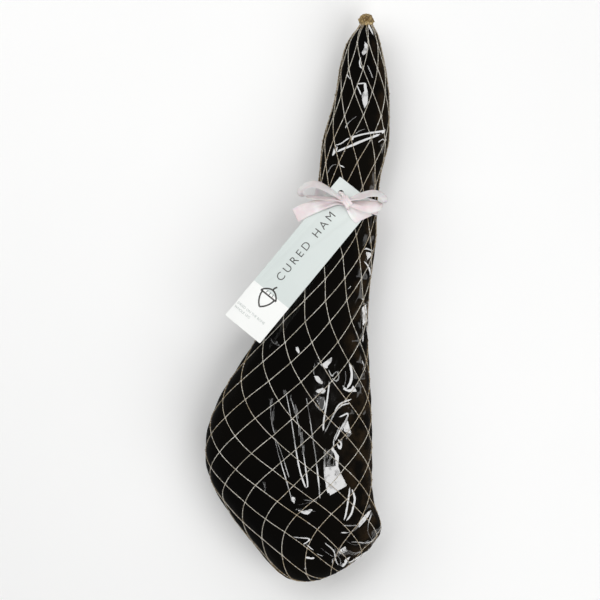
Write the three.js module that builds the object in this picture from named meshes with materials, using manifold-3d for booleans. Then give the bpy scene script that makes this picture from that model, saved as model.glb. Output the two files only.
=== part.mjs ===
// A whole cured ham lying on its side: the leg, its film sleeve, the string net round it,
// the ties that close the net, and a satin ribbon that holds a card tag on the shank.
// Sizes are in millimetres. +Y runs from the butt to the hoof, +X across the leg, +Z up,
// and the origin is on the ground at the middle of the whole object's footprint.
import * as THREE from "three";
import { mergeVertices } from "three/addons/utils/BufferGeometryUtils.js";
import Module from "manifold-3d";

// The leg.
const LEG_LENGTH = 772; // hoof tip to the furthest point of the butt
const LEG_WIDTH = 232; // across the broadest part, edge to edge
const LEG_THICKNESS = 130; // through the broadest part, before its own weight flattens it
// The skins over it.
const LAYER_GAP = 0.4; // between one skin and the next
const FILM_WALL = 0.5;
const NET_WALL = 1.6; // thickness of a net strand
// The net's gathered ends: a waist with the tie round it, and a tuft of cut loops.
const THROAT_RADIUS = 1.5; // the way that is left down the middle of the top gather
const WAIST_RADIUS = 4.4;
const TWINE_RADIUS = 1.0;
const TWINE_PITCH = 1.6; // the turns of a tie bed into each other
const TIE_GAP = 0.35; // between a tie and the waist, and between it and the tuft
const TIE_SEAT = 2.2; // from the net's surface up the waist to the tie
const TOP_TIE_TURNS = 3;
const TOP_TUFT = { radius: 8.4, height: 12 };
const BUTT_TIE_TURNS = 2;
const BUTT_TUFT = { radius: 6.4, height: 6 };
// The ribbon.
const RIBBON_WIDTH = 20;
const RIBBON_WALL = 0.6;
const RIBBON_STATION = 0.4; // how far down the leg it is tied, 0 at the hoof and 1 at the butt
const BAND_TURN = -0.05; // radians from +X to the line of the band, about +Z
const BOW_TURN = 0.03; // the same for the bow
const KNOT = { x: 8, y: 8.5, z: 4.2 }; // half sizes
const KNOT_DROP = 6; // from the line of the holes down to the knot
const LOOPS = [
  { reach: [-63, 8, 16], opening: 18, lean: -0.75 }, // lean turns the loop's axis towards -Y
  { reach: [54, 5, 14], opening: 12, lean: -0.75 },
];
const LOOP_SPREAD = 5; // between the two ends of a loop, inside the knot
const KNOT_PINCH = 0.32; // share of the ribbon's width that is left at the knot
const TAILS = [
  { route: [[0, 0, 0], [-24, -7, 2.5], [-46, -17, 1], [-67, -28, -2.5]], broad: [0.45, -0.89, 0] },
  { route: [[0, 0, 0], [12, -8, 1.5], [24, -15, 0.5], [35, -22, -1.5]], broad: [0.7, 0.71, 0] },
];
// The card tag. Its length runs from the ribbon down over the edge of the leg.
const TAG_LENGTH = 248;
const TAG_WIDTH = 62;
const TAG_WALL = 0.6;
const TAG_HOLE_RADIUS = 4;
const TAG_HOLE_SPACING = 31; // between the two holes that the ribbon is threaded through
const TAG_HOLE_INSET = 17; // from the card's top edge to the holes
const TAG_SHIFT = [3.5, 1]; // from the middle of the shank to midway between the holes
const TAG_CORNER_RADIUS = 1.5;
const TAG_HEADING = 0.528; // radians between the card's length and -Y, turned towards -X
const TAG_PITCH = 0.06; // radians that the far end is raised
const TAG_ROLL = 0.13; // radians that the outer long edge droops
const TAG_CLEARANCE = 0.5; // over what it lies on
const THREAD_RADIUS = 2.2; // the ribbon, rolled up where it goes through a hole
const THREAD_DEPTH = 14; // from the card down to below the band
// How finely the shapes are faceted.
const RINGS = 34;
const SIDES = 24;
const RING_CROWDING = 0.6; // 0 spaces the rings evenly, 1 crowds them to nothing at the ends
const STRIP_STEPS = 18;
const TUFT_STEPS = 8;

// The leg from the hoof's tip to the butt. Each station gives both edges of the leg, seen from
// above, and the thickness and the height of the middle there, as shares of the three sizes.
// lean is how far the top of the section overhangs the butt, and the bottom falls short of it.
const TIP = { left: [0.004, 1.0], right: [0.004, 1.0], thick: 0, mid: 0.34 };
const BUTT = { left: [0.345, 0.04], right: [0.345, 0.04], thick: 0, mid: 0.24 };
const STATIONS = [
  { left: [-0.03, 0.988], right: [0.043, 0.992], thick: 0.14, mid: 0.34 },
  { left: [-0.086, 0.962], right: [0.082, 0.971], thick: 0.3, mid: 0.345 },
  { left: [-0.103, 0.922], right: [0.134, 0.935], thick: 0.38, mid: 0.355 },
  { left: [-0.103, 0.865], right: [0.185, 0.881], thick: 0.425, mid: 0.37 },
  { left: [-0.129, 0.806], right: [0.216, 0.824], thick: 0.445, mid: 0.38 },
  { left: [-0.134, 0.746], right: [0.228, 0.769], thick: 0.45, mid: 0.385 },
  { left: [-0.125, 0.688], right: [0.225, 0.711], thick: 0.445, mid: 0.385 },
  { left: [-0.142, 0.613], right: [0.258, 0.639], thick: 0.5, mid: 0.39 },
  { left: [-0.228, 0.517], right: [0.267, 0.552], thick: 0.62, mid: 0.405 },
  { left: [-0.341, 0.412], right: [0.297, 0.462], thick: 0.77, mid: 0.43 },
  { left: [-0.474, 0.321], right: [0.358, 0.374], thick: 0.91, mid: 0.455 },
  { left: [-0.543, 0.237], right: [0.418, 0.286], thick: 1.0, mid: 0.465 },
  { left: [-0.487, 0.158], right: [0.457, 0.215], thick: 0.99, mid: 0.465 },
  { left: [-0.336, 0.1], right: [0.496, 0.159], thick: 0.93, mid: 0.455, lean: 0.005 },
  { left: [-0.142, 0.045], right: [0.556, 0.122], thick: 0.8, mid: 0.43, lean: 0.02 },
  { left: [0.056, 0.0], right: [0.517, 0.081], thick: 0.6, mid: 0.385, lean: 0.04 },
  { left: [0.198, 0.002], right: [0.455, 0.055], thick: 0.4, mid: 0.32, lean: 0.06 },
];

const wasm = await Module();
wasm.setup();

// How far each skin stands off the leg.
const FILM_INSIDE = LAYER_GAP;
const FILM_OUTSIDE = FILM_INSIDE + FILM_WALL;
const NET_INSIDE = FILM_OUTSIDE + LAYER_GAP;
const NET_OUTSIDE = NET_INSIDE + NET_WALL;
const BAND_INSIDE = NET_OUTSIDE + LAYER_GAP;
const BAND_OUTSIDE = BAND_INSIDE + RIBBON_WALL;

const onPlan = ([x, y]) => new THREE.Vector3(x * LEG_WIDTH, y * LEG_LENGTH, 0);
const rightEdge = [TIP, ...STATIONS, BUTT].map(({ right }) => onPlan(right));
const leftEdge = STATIONS.map(({ left }) => onPlan(left)).reverse();
const outline = new THREE.CatmullRomCurve3([...rightEdge, ...leftEdge], true);
// x is half the thickness, y the lean and z the height of the middle.
const profile = new THREE.CatmullRomCurve3(
  [TIP, ...STATIONS, BUTT].map(
    ({ thick, mid, lean = 0 }) =>
      new THREE.Vector3((thick * LEG_THICKNESS) / 2, lean * LEG_THICKNESS, mid * LEG_THICKNESS),
  ),
);

// A point of the leg's skin: t runs from the hoof's tip, 0, to the butt, 1.
function legPoint(t, angle) {
  const right = outline.getPoint(t / 2);
  const left = outline.getPoint(1 - t / 2);
  const { x: halfThickness, y: lean, z: middle } = profile.getPoint(t);
  const point = left.lerp(right, (1 + Math.cos(angle)) / 2);
  point.y -= lean * Math.sin(angle);
  point.z = middle + halfThickness * Math.sin(angle);
  return point;
}

// The middle of the leg at t, which lies on its skin at the two ends.
function legMiddle(t) {
  return legPoint(t, 0).lerp(legPoint(t, Math.PI), 0.5);
}

// Which way the skin faces. At the two ends it is the mean of what lies round the end.
function legNormal(t, angle) {
  const step = 1e-3;
  const low = Math.max(t - step, 0);
  const high = Math.min(t + step, 1);
  if (low === 0 || high === 1) {
    const ring = low === 0 ? 2 * step : 1 - 2 * step;
    const mean = new THREE.Vector3();
    for (let i = 0; i < SIDES; i++) mean.add(legNormal(ring, (2 * Math.PI * i) / SIDES));
    return mean.normalize();
  }
  const along = legPoint(high, angle).sub(legPoint(low, angle));
  const around = legPoint(t, angle + step).sub(legPoint(t, angle - step));
  return around.cross(along).normalize();
}

// A point off the skin. The leg's weight presses every skin flat where it meets the ground.
function skinPoint(t, angle, offset) {
  const point = legPoint(t, angle).addScaledVector(legNormal(t, angle), offset);
  point.z = Math.max(point.z, NET_OUTSIDE - offset);
  return point;
}

// The closed surface that stands off the leg by offset: a sphere's grid laid over it.
// Rings are closer together at the two ends, where the leg rounds off.
function skinGeometry(offset) {
  const geometry = new THREE.SphereGeometry(1, SIDES, RINGS);
  const { position, uv } = geometry.attributes;
  for (let i = 0; i < position.count; i++) {
    const down = 1 - uv.getY(i);
    const t = down - (RING_CROWDING * Math.sin(2 * Math.PI * down)) / (2 * Math.PI);
    const turn = ((i % (SIDES + 1)) % SIDES) / SIDES;
    position.setXYZ(i, ...skinPoint(t, -2 * Math.PI * turn, offset));
  }
  return geometry;
}

// A geometry as a manifold-3d solid, and back.
function solid(geometry, matrix = new THREE.Matrix4()) {
  const bare = new THREE.BufferGeometry();
  bare.setAttribute("position", geometry.getAttribute("position").clone());
  bare.setIndex(geometry.index ? geometry.index.clone() : null);
  const { attributes, index } = mergeVertices(bare.applyMatrix4(matrix), 1e-4);
  return new wasm.Manifold(
    new wasm.Mesh({
      numProp: 3,
      vertProperties: new Float32Array(attributes.position.array),
      triVerts: new Uint32Array(index.array),
    }),
  );
}

function geometryOf(made) {
  const mesh = made.getMesh();
  const geometry = new THREE.BufferGeometry();
  geometry.setAttribute("position", new THREE.BufferAttribute(mesh.vertProperties, 3));
  geometry.setIndex(new THREE.BufferAttribute(mesh.triVerts, 1));
  geometry.computeVertexNormals();
  return geometry;
}

const skinSolid = (offset) => solid(skinGeometry(offset));

// Where an end of the leg is, and a matrix that stands a turned shape on it, its +Y outwards.
function endMatrix(t) {
  const outwards = legNormal(t, 0);
  const turn = new THREE.Quaternion().setFromUnitVectors(new THREE.Vector3(0, 1, 0), outwards);
  return new THREE.Matrix4().compose(legPoint(t, 0), turn, new THREE.Vector3(1, 1, 1));
}

const waistLength = (turns) => TIE_SEAT + (turns - 1) * TWINE_PITCH + 2 * TWINE_RADIUS + TIE_GAP;

// The gathered end of the net, turned about its own axis: waist, then tuft.
function gatherGeometry(turns, tuft) {
  const foot = NET_INSIDE + NET_WALL / 4;
  const shoulder = NET_OUTSIDE + waistLength(turns);
  const points = [new THREE.Vector2(0, foot), new THREE.Vector2(WAIST_RADIUS, foot)];
  const neck = Math.asin(WAIST_RADIUS / tuft.radius);
  for (let i = 0; i < TUFT_STEPS; i++) {
    const swing = neck + ((Math.PI - neck) * i) / TUFT_STEPS;
    const rise = (Math.cos(neck) - Math.cos(swing)) / (Math.cos(neck) + 1);
    points.push(new THREE.Vector2(tuft.radius * Math.sin(swing), shoulder + tuft.height * rise));
  }
  points.push(new THREE.Vector2(0, shoulder + tuft.height));
  return new THREE.LatheGeometry(points, 20);
}

// The turns of twine round a gather's waist, bedded together.
function tieSolid(t, turns) {
  const first = NET_OUTSIDE + TIE_SEAT + TWINE_RADIUS;
  const rings = [];
  for (let i = 0; i < turns; i++) {
    const ring = new THREE.TorusGeometry(WAIST_RADIUS + TIE_GAP + TWINE_RADIUS, TWINE_RADIUS, 8, 20);
    ring.rotateX(Math.PI / 2);
    ring.translate(0, first + i * TWINE_PITCH, 0);
    rings.push(solid(ring, endMatrix(t)));
  }
  return rings.reduce((joined, ring) => joined.add(ring));
}

// A way through a skin at the hoof end, down the middle of the gather.
function throatSolid() {
  const inside = 5; // how far it starts below the skin
  const length = inside + NET_OUTSIDE + waistLength(TOP_TIE_TURNS) + 1.2 * TOP_TUFT.height;
  const way = new THREE.CylinderGeometry(THROAT_RADIUS, THROAT_RADIUS, length, 12);
  way.translate(0, length / 2 - inside, 0);
  return solid(way, endMatrix(0));
}

function filmSolid() {
  return skinSolid(FILM_OUTSIDE).subtract(skinSolid(FILM_INSIDE)).subtract(throatSolid());
}

function netSolid() {
  return skinSolid(NET_OUTSIDE)
    .subtract(skinSolid(NET_INSIDE))
    .add(solid(gatherGeometry(TOP_TIE_TURNS, TOP_TUFT), endMatrix(0)))
    .add(solid(gatherGeometry(BUTT_TIE_TURNS, BUTT_TUFT), endMatrix(1)))
    .subtract(throatSolid());
}

// The ribbon's band: the skin just off the net, kept between two planes across the shank.
function bandSolid() {
  const slab = new THREE.BoxGeometry(2 * LEG_WIDTH, RIBBON_WIDTH, 2 * LEG_THICKNESS);
  const place = new THREE.Matrix4().makeRotationZ(BAND_TURN).setPosition(legMiddle(RIBBON_STATION));
  return skinSolid(BAND_OUTSIDE).subtract(skinSolid(BAND_INSIDE)).intersect(solid(slab, place));
}

// The card, flat, with its length along -Y and the point midway between its holes at 0, 0.
function cardGeometry() {
  const [side, top, foot] = [TAG_WIDTH / 2, TAG_HOLE_INSET, TAG_HOLE_INSET - TAG_LENGTH];
  const r = TAG_CORNER_RADIUS;
  const card = new THREE.Shape();
  card.moveTo(-side + r, foot);
  card.lineTo(side - r, foot);
  card.absarc(side - r, foot + r, r, -Math.PI / 2, 0);
  card.lineTo(side, top - r);
  card.absarc(side - r, top - r, r, 0, Math.PI / 2);
  card.lineTo(-side + r, top);
  card.absarc(-side + r, top - r, r, Math.PI / 2, Math.PI);
  card.lineTo(-side, foot + r);
  card.absarc(-side + r, foot + r, r, Math.PI, 1.5 * Math.PI);
  for (const hand of [-1, 1]) {
    const hole = new THREE.Path();
    hole.absarc((hand * TAG_HOLE_SPACING) / 2, 0, TAG_HOLE_RADIUS, 0, 2 * Math.PI, true);
    card.holes.push(hole);
  }
  return new THREE.ExtrudeGeometry(card, { depth: TAG_WALL, bevelEnabled: false, curveSegments: 5 });
}

// Lays the card down until it rests on what is under it, tilted as the ribbon holds it.
function cardMatrix(under) {
  const tilt = new THREE.Matrix4()
    .makeRotationZ(-TAG_HEADING)
    .multiply(new THREE.Matrix4().makeRotationFromEuler(new THREE.Euler(-TAG_PITCH, -TAG_ROLL, 0)));
  const above = legMiddle(RIBBON_STATION).setZ(2 * LEG_THICKNESS);
  above.add(new THREE.Vector3(...TAG_SHIFT, 0));
  const rays = new THREE.Raycaster();
  const down = new THREE.Vector3(0, 0, -1);
  let rest = 0;
  for (let i = 0; i <= 8; i++) {
    for (let j = 0; j <= 32; j++) {
      const spot = new THREE.Vector3((i / 8 - 0.5) * TAG_WIDTH, TAG_HOLE_INSET - (j / 32) * TAG_LENGTH, 0);
      spot.applyMatrix4(tilt);
      rays.set(new THREE.Vector3(above.x + spot.x, above.y + spot.y, above.z), down);
      const [hit] = rays.intersectObjects(under);
      rest = Math.max(rest, hit ? hit.point.z - spot.z : 0);
    }
  }
  return tilt.setPosition(above.x, above.y, rest + TAG_CLEARANCE);
}

// A flat strip along a curve. broad(s) is the direction of its width, and share(s) how much of
// the width it has there, with s from 0 at the start to 1 at the end.
function stripSolid(curve, broad, share, matrix) {
  const strip = new THREE.BoxGeometry(1, RIBBON_WIDTH, RIBBON_WALL, STRIP_STEPS, 1, 1);
  const { position } = strip.attributes;
  for (let i = 0; i < position.count; i++) {
    const s = THREE.MathUtils.clamp(position.getX(i) + 0.5, 0, 1);
    const tangent = curve.getTangent(s);
    const side = broad(s).addScaledVector(tangent, -broad(s).dot(tangent)).normalize();
    const face = tangent.clone().cross(side);
    const point = curve.getPoint(s).addScaledVector(side, position.getY(i) * share(s));
    position.setXYZ(i, ...point.addScaledVector(face, position.getZ(i)));
  }
  return solid(strip, matrix);
}

// One loop of the bow: out from the knot to its reach, and back. Its ends lie side by side.
function loopSolid({ reach, opening, lean }, matrix) {
  const out = new THREE.Vector3(...reach);
  const axis = new THREE.Vector3(0, lean, 1).projectOnPlane(out.clone().normalize()).normalize();
  const aside = out.clone().normalize().cross(axis);
  const points = [];
  for (let i = 0; i <= 12; i++) {
    const swing = (Math.PI * i) / 12;
    const spread = (opening * Math.sin(2 * swing) + LOOP_SPREAD * Math.cos(swing)) / 2;
    points.push(out.clone().multiplyScalar(Math.sin(swing) ** 0.8).addScaledVector(aside, spread));
  }
  const share = (s) => KNOT_PINCH + (1 - KNOT_PINCH) * Math.sin(Math.PI * s);
  return stripSolid(new THREE.CatmullRomCurve3(points), () => axis.clone(), share, matrix);
}

// One tail of the bow, as wide as the ribbon but where the knot gathers it.
function tailSolid({ route, broad }, matrix) {
  const curve = new THREE.CatmullRomCurve3(route.map((point) => new THREE.Vector3(...point)));
  const share = (s) => Math.min(1, KNOT_PINCH + 2.5 * s);
  return stripSolid(curve, () => new THREE.Vector3(...broad), share, matrix);
}

// The whole ribbon: the band, what goes up through the card's holes and across to the knot,
// and the bow. The bow is laid out from its knot, with x along the bow and z off the card.
function ribbonSolid(cardPlace) {
  const knotHeight = TAG_WALL + LAYER_GAP + KNOT.z;
  const bowPlace = cardPlace
    .clone()
    .multiply(new THREE.Matrix4().makeTranslation(0, -KNOT_DROP, knotHeight))
    .multiply(new THREE.Matrix4().makeRotationZ(TAG_HEADING + BOW_TURN));
  const bridge = new THREE.BoxGeometry(TAG_HOLE_SPACING, 2 * THREAD_RADIUS, KNOT.z);
  bridge.translate(0, 0, knotHeight - KNOT.z / 2);
  let threads = solid(bridge, cardPlace);
  for (const hand of [-1, 1]) {
    const height = THREAD_DEPTH + knotHeight;
    const thread = new THREE.CylinderGeometry(THREAD_RADIUS, THREAD_RADIUS, height, 10);
    thread.rotateX(Math.PI / 2);
    thread.translate((hand * TAG_HOLE_SPACING) / 2, 0, height / 2 - THREAD_DEPTH);
    threads = threads.add(solid(thread, cardPlace));
  }
  const knot = new THREE.SphereGeometry(1, 16, 10);
  knot.scale(KNOT.x, KNOT.y, KNOT.z);
  const bow = [
    solid(knot, bowPlace),
    ...LOOPS.map((loop) => loopSolid(loop, bowPlace)),
    ...TAILS.map((tail) => tailSolid(tail, bowPlace)),
  ];
  const held = bandSolid().add(threads.subtract(skinSolid(BAND_INSIDE)));
  return bow.reduce((joined, piece) => joined.add(piece), held);
}

const material = (color, roughness) => new THREE.MeshStandardMaterial({ color, roughness, metalness: 0 });
const hide = material(0x8a5a34, 0.7);
const film = material(0x0b0906, 0.12);
const string = material(0xc3b393, 0.8);
const satin = material(0xf0dde0, 0.45);
const card = material(0xdde4e2, 0.4);

const ham = new THREE.Group();

function addPiece(name, geometry, material) {
  const mesh = new THREE.Mesh(geometry, material);
  mesh.name = name;
  mesh.updateMatrixWorld();
  ham.add(mesh);
  return mesh;
}

addPiece("ham_leg", skinGeometry(0), hide);
addPiece("film_sleeve", geometryOf(filmSolid()), film);
const net = addPiece("string_net", geometryOf(netSolid()), string);
addPiece("top_tie", geometryOf(tieSolid(0, TOP_TIE_TURNS)), string);
addPiece("butt_tie", geometryOf(tieSolid(1, BUTT_TIE_TURNS)), string);
const band = new THREE.Mesh(geometryOf(bandSolid()));
const cardPlace = cardMatrix([net, band]);
addPiece("hang_tag", cardGeometry().applyMatrix4(cardPlace), card);
addPiece("ribbon", geometryOf(ribbonSolid(cardPlace)), satin);

// The whole object's footprint is centred on the origin, and its lowest point is on the ground.
const footprint = new THREE.Box3().setFromObject(ham);
const centre = footprint.getCenter(new THREE.Vector3());
ham.position.set(-centre.x, -centre.y, -footprint.min.z);

export default ham;
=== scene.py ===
import math

import bmesh
import bpy
import numpy as np
from mathutils import Matrix, Vector, kdtree, noise
from mathutils.bvhtree import BVHTree


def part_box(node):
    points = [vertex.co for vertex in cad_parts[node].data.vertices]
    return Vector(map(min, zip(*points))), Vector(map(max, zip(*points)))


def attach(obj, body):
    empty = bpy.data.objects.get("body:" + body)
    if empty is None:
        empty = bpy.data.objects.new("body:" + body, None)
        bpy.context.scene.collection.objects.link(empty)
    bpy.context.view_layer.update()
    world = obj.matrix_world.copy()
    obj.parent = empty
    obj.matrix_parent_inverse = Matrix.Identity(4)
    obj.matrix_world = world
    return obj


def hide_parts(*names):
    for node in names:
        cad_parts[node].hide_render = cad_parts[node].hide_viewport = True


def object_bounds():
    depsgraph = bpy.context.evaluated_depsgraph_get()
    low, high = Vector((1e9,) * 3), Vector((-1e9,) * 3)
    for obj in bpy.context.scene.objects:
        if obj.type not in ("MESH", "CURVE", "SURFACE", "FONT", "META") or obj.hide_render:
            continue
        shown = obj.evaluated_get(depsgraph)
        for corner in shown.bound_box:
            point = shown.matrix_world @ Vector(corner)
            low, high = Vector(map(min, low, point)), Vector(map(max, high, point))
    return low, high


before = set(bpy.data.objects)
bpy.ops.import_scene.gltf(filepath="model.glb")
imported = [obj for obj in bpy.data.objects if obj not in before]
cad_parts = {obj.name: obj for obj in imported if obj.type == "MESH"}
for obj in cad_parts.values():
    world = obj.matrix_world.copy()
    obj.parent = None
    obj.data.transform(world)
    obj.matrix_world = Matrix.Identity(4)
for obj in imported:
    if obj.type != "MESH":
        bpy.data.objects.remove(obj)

cad_box = [list(corner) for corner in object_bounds()]
bpy.ops.object.select_all(action="DESELECT")

MM = 0.001
UP = Vector((0, 0, 1))

NOISE_SEED = 7  # without a seed, noise_vector() starts from the clock and every run differs
noise.seed_set(NOISE_SEED)

# How far each layer stands off the leg, as the CAD model has it.
FILM_OFF = 0.9 * MM
NET_OFF = 2.9 * MM
RIBBON_OFF = 3.5 * MM

# ---------------------------------------------------------------- camera, floor and lights

VIEW_ROLL = math.radians(9.3)  # the leg leans this far to the right of upright
VIEW_FIELD = 0.834  # metres across the picture, at the middle of the ham
VIEW_DISTANCE = 2.2
VIEW_LEFT, VIEW_DOWN = 0.121, 0.014  # how far off the ham's middle it looks, in shares of its size
SENSOR = 36  # millimetres

KEY_WAY = Vector((0.62, 0.12, 0.78)).normalized()
KEY_DISTANCE = 1.9
FILL_DISTANCE = 2.6
FILL_SIZE = (2.4, 2.4)


def add_camera():
    low, high = (Vector(corner) for corner in cad_box)
    size = high - low
    middle = (low + high) / 2
    data = bpy.data.cameras.new("camera")
    data.sensor_width = SENSOR
    data.lens = SENSOR * VIEW_DISTANCE / VIEW_FIELD
    camera = bpy.data.objects.new("camera", data)
    camera.location = (
        middle.x - VIEW_LEFT * size.x,
        middle.y - VIEW_DOWN * size.y,
        middle.z + VIEW_DISTANCE,
    )
    camera.rotation_euler = (0, 0, VIEW_ROLL)
    bpy.context.scene.collection.objects.link(camera)
    bpy.context.scene.camera = camera


def add_light(name, toward, distance, size, power, mirrored):
    """A softbox in a direction from the ham, facing it. Gloss mirrors it, or else it only lights."""
    data = bpy.data.lights.new(name, "AREA")
    data.shape = "RECTANGLE"
    data.size, data.size_y = size
    data.energy = power
    light = bpy.data.objects.new(name, data)
    way = Vector(toward).normalized()
    light.location = way * distance
    light.rotation_euler = way.to_track_quat("Z", "Y").to_euler()
    light.visible_glossy = mirrored
    light.visible_diffuse = not mirrored
    light.visible_camera = False
    bpy.context.scene.collection.objects.link(light)


def add_world(strength):
    world = bpy.data.worlds.new("studio")
    world.use_nodes = True
    background = world.node_tree.nodes["Background"]
    background.inputs["Color"].default_value = (1, 1, 1, 1)
    background.inputs["Strength"].default_value = strength
    bpy.context.scene.world = world


add_camera()
add_world(0.05)
add_light("key_softbox", KEY_WAY, KEY_DISTANCE, (0.5, 0.7), 20, True)
add_light("low_strip", (1.0, 0.2, 0.06), 1.6, (0.10, 0.9), 0.5, True)
for name, toward, power in (
    ("fill_left", (-0.75, 0.25, 1.0), 37),
    ("fill_right", (0.7, -0.5, 1.0), 45),
    ("fill_top", (0.1, 0.8, 1.0), 27),
):
    add_light(name, toward, FILL_DISTANCE, FILL_SIZE, power, False)
bpy.context.scene.view_settings.view_transform = "Standard"

# ---------------------------------------------------------------- materials


class Value:
    """One output of a shader node. Arithmetic on it adds Math nodes."""

    def __init__(self, shader, socket):
        self.shader = shader
        self.socket = socket

    def math(self, operation, *others):
        inputs = dict(enumerate((self, *others)))
        return self.shader.node("ShaderNodeMath", {"operation": operation}, inputs)

    def __add__(self, other):
        return self.math("ADD", other)

    def __mul__(self, other):
        return self.math("MULTIPLY", other)

    def __sub__(self, other):
        return self.math("SUBTRACT", other)

    def __rsub__(self, other):
        return self.math("MULTIPLY_ADD", -1.0, other)

    __radd__ = __add__
    __rmul__ = __mul__

    def clamped(self):
        return self.shader.node("ShaderNodeClamp", {}, {0: self})

    def step(self, low, high):
        """0 below low, 1 above high, smooth between."""
        settings = {"interpolation_type": "SMOOTHSTEP"}
        return self.shader.node("ShaderNodeMapRange", settings, {0: self, 1: low, 2: high})


class Shader:
    """A material, built from expressions, with one Principled surface."""

    def __init__(self, name):
        self.material = bpy.data.materials.new(name)
        self.material.use_nodes = True
        self.tree = self.material.node_tree
        self.tree.nodes.clear()

    def node(self, kind, settings=None, inputs=None, output=0):
        node = self.tree.nodes.new(kind)
        for name, value in (settings or {}).items():
            if name == "stops":
                ramp = node.color_ramp.elements
                while len(ramp) < len(value):
                    ramp.new(0.5)
                for stop, (position, color) in zip(ramp, value):
                    stop.position = position
                    stop.color = (*color, 1)
            else:
                setattr(node, name, value)
        for key, value in (inputs or {}).items():
            if isinstance(value, Value):
                self.tree.links.new(value.socket, node.inputs[key])
            else:
                node.inputs[key].default_value = value
        return Value(self, node.outputs[output])

    def place(self):
        return self.node("ShaderNodeTexCoord", output="Object")

    def attribute(self, name, output="Fac"):
        return self.node("ShaderNodeAttribute", {"attribute_name": name}, output=output)

    def part(self, vector, axis):
        return self.node("ShaderNodeSeparateXYZ", {}, {0: vector}, output=axis)

    def uv(self, axis):
        return self.part(self.node("ShaderNodeTexCoord", output="UV"), axis)

    def stretched(self, vector, scale):
        return self.node("ShaderNodeMapping", {}, {"Vector": vector, "Scale": scale})

    def noise(self, scale, detail, vector=None, rough=0.5, distortion=0.0):
        inputs = {
            "Vector": vector or self.place(),
            "Scale": scale,
            "Detail": detail,
            "Roughness": rough,
            "Distortion": distortion,
        }
        return self.node("ShaderNodeTexNoise", {}, inputs)

    def cells(self, scale):
        inputs = {"Vector": self.place(), "Scale": scale}
        return self.node("ShaderNodeTexVoronoi", {"feature": "F1"}, inputs, output="Distance")

    def vector(self, operation, *values, output="Vector"):
        inputs = dict(enumerate(values))
        return self.node("ShaderNodeVectorMath", {"operation": operation}, inputs, output=output)

    def ramp(self, value, stops):
        return self.node("ShaderNodeValToRGB", {"stops": stops}, {0: value})

    def mix(self, share, first, second):
        """Two colours, mixed: first where share is 0, second where it is 1."""
        colors = [c if isinstance(c, Value) else (*c, 1) for c in (first, second)]
        inputs = {0: share, 6: colors[0], 7: colors[1]}
        return self.node("ShaderNodeMix", {"data_type": "RGBA"}, inputs, output=2)

    def bump(self, height, distance, strength, under=None):
        inputs = {"Height": height, "Distance": distance, "Strength": strength}
        if under is not None:
            inputs["Normal"] = under
        return self.node("ShaderNodeBump", {}, inputs)

    def finish(self, **sockets):
        inputs = {name.replace("_", " "): value for name, value in sockets.items()}
        surface = self.node("ShaderNodeBsdfPrincipled", {}, inputs)
        out = self.tree.nodes.new("ShaderNodeOutputMaterial")
        self.tree.links.new(surface.socket, out.inputs["Surface"])
        return self.material


CREASE_SETS = 4  # creases that lie close together are painted in different sets
FILM_BLACK = (0.0012, 0.0010, 0.0007)
FILM_BROWN_BLACK = (0.0030, 0.0023, 0.0014)
# the warm brownish colour painted on the film's right side: painted light from the right
FILM_PAINTED_LIGHT_WARM = (0.0240, 0.0150, 0.0070)
FACING_WANDER = 0.09  # how unevenly a highlight faces the light
KEY_NEAR, KEY_MIRRORED = 0.985, 0.9935  # how nearly plain film has to face the light to mirror it
KEY_SWING = 0.15  # how far it is turned aside there, so that only the marked places shine


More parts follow.
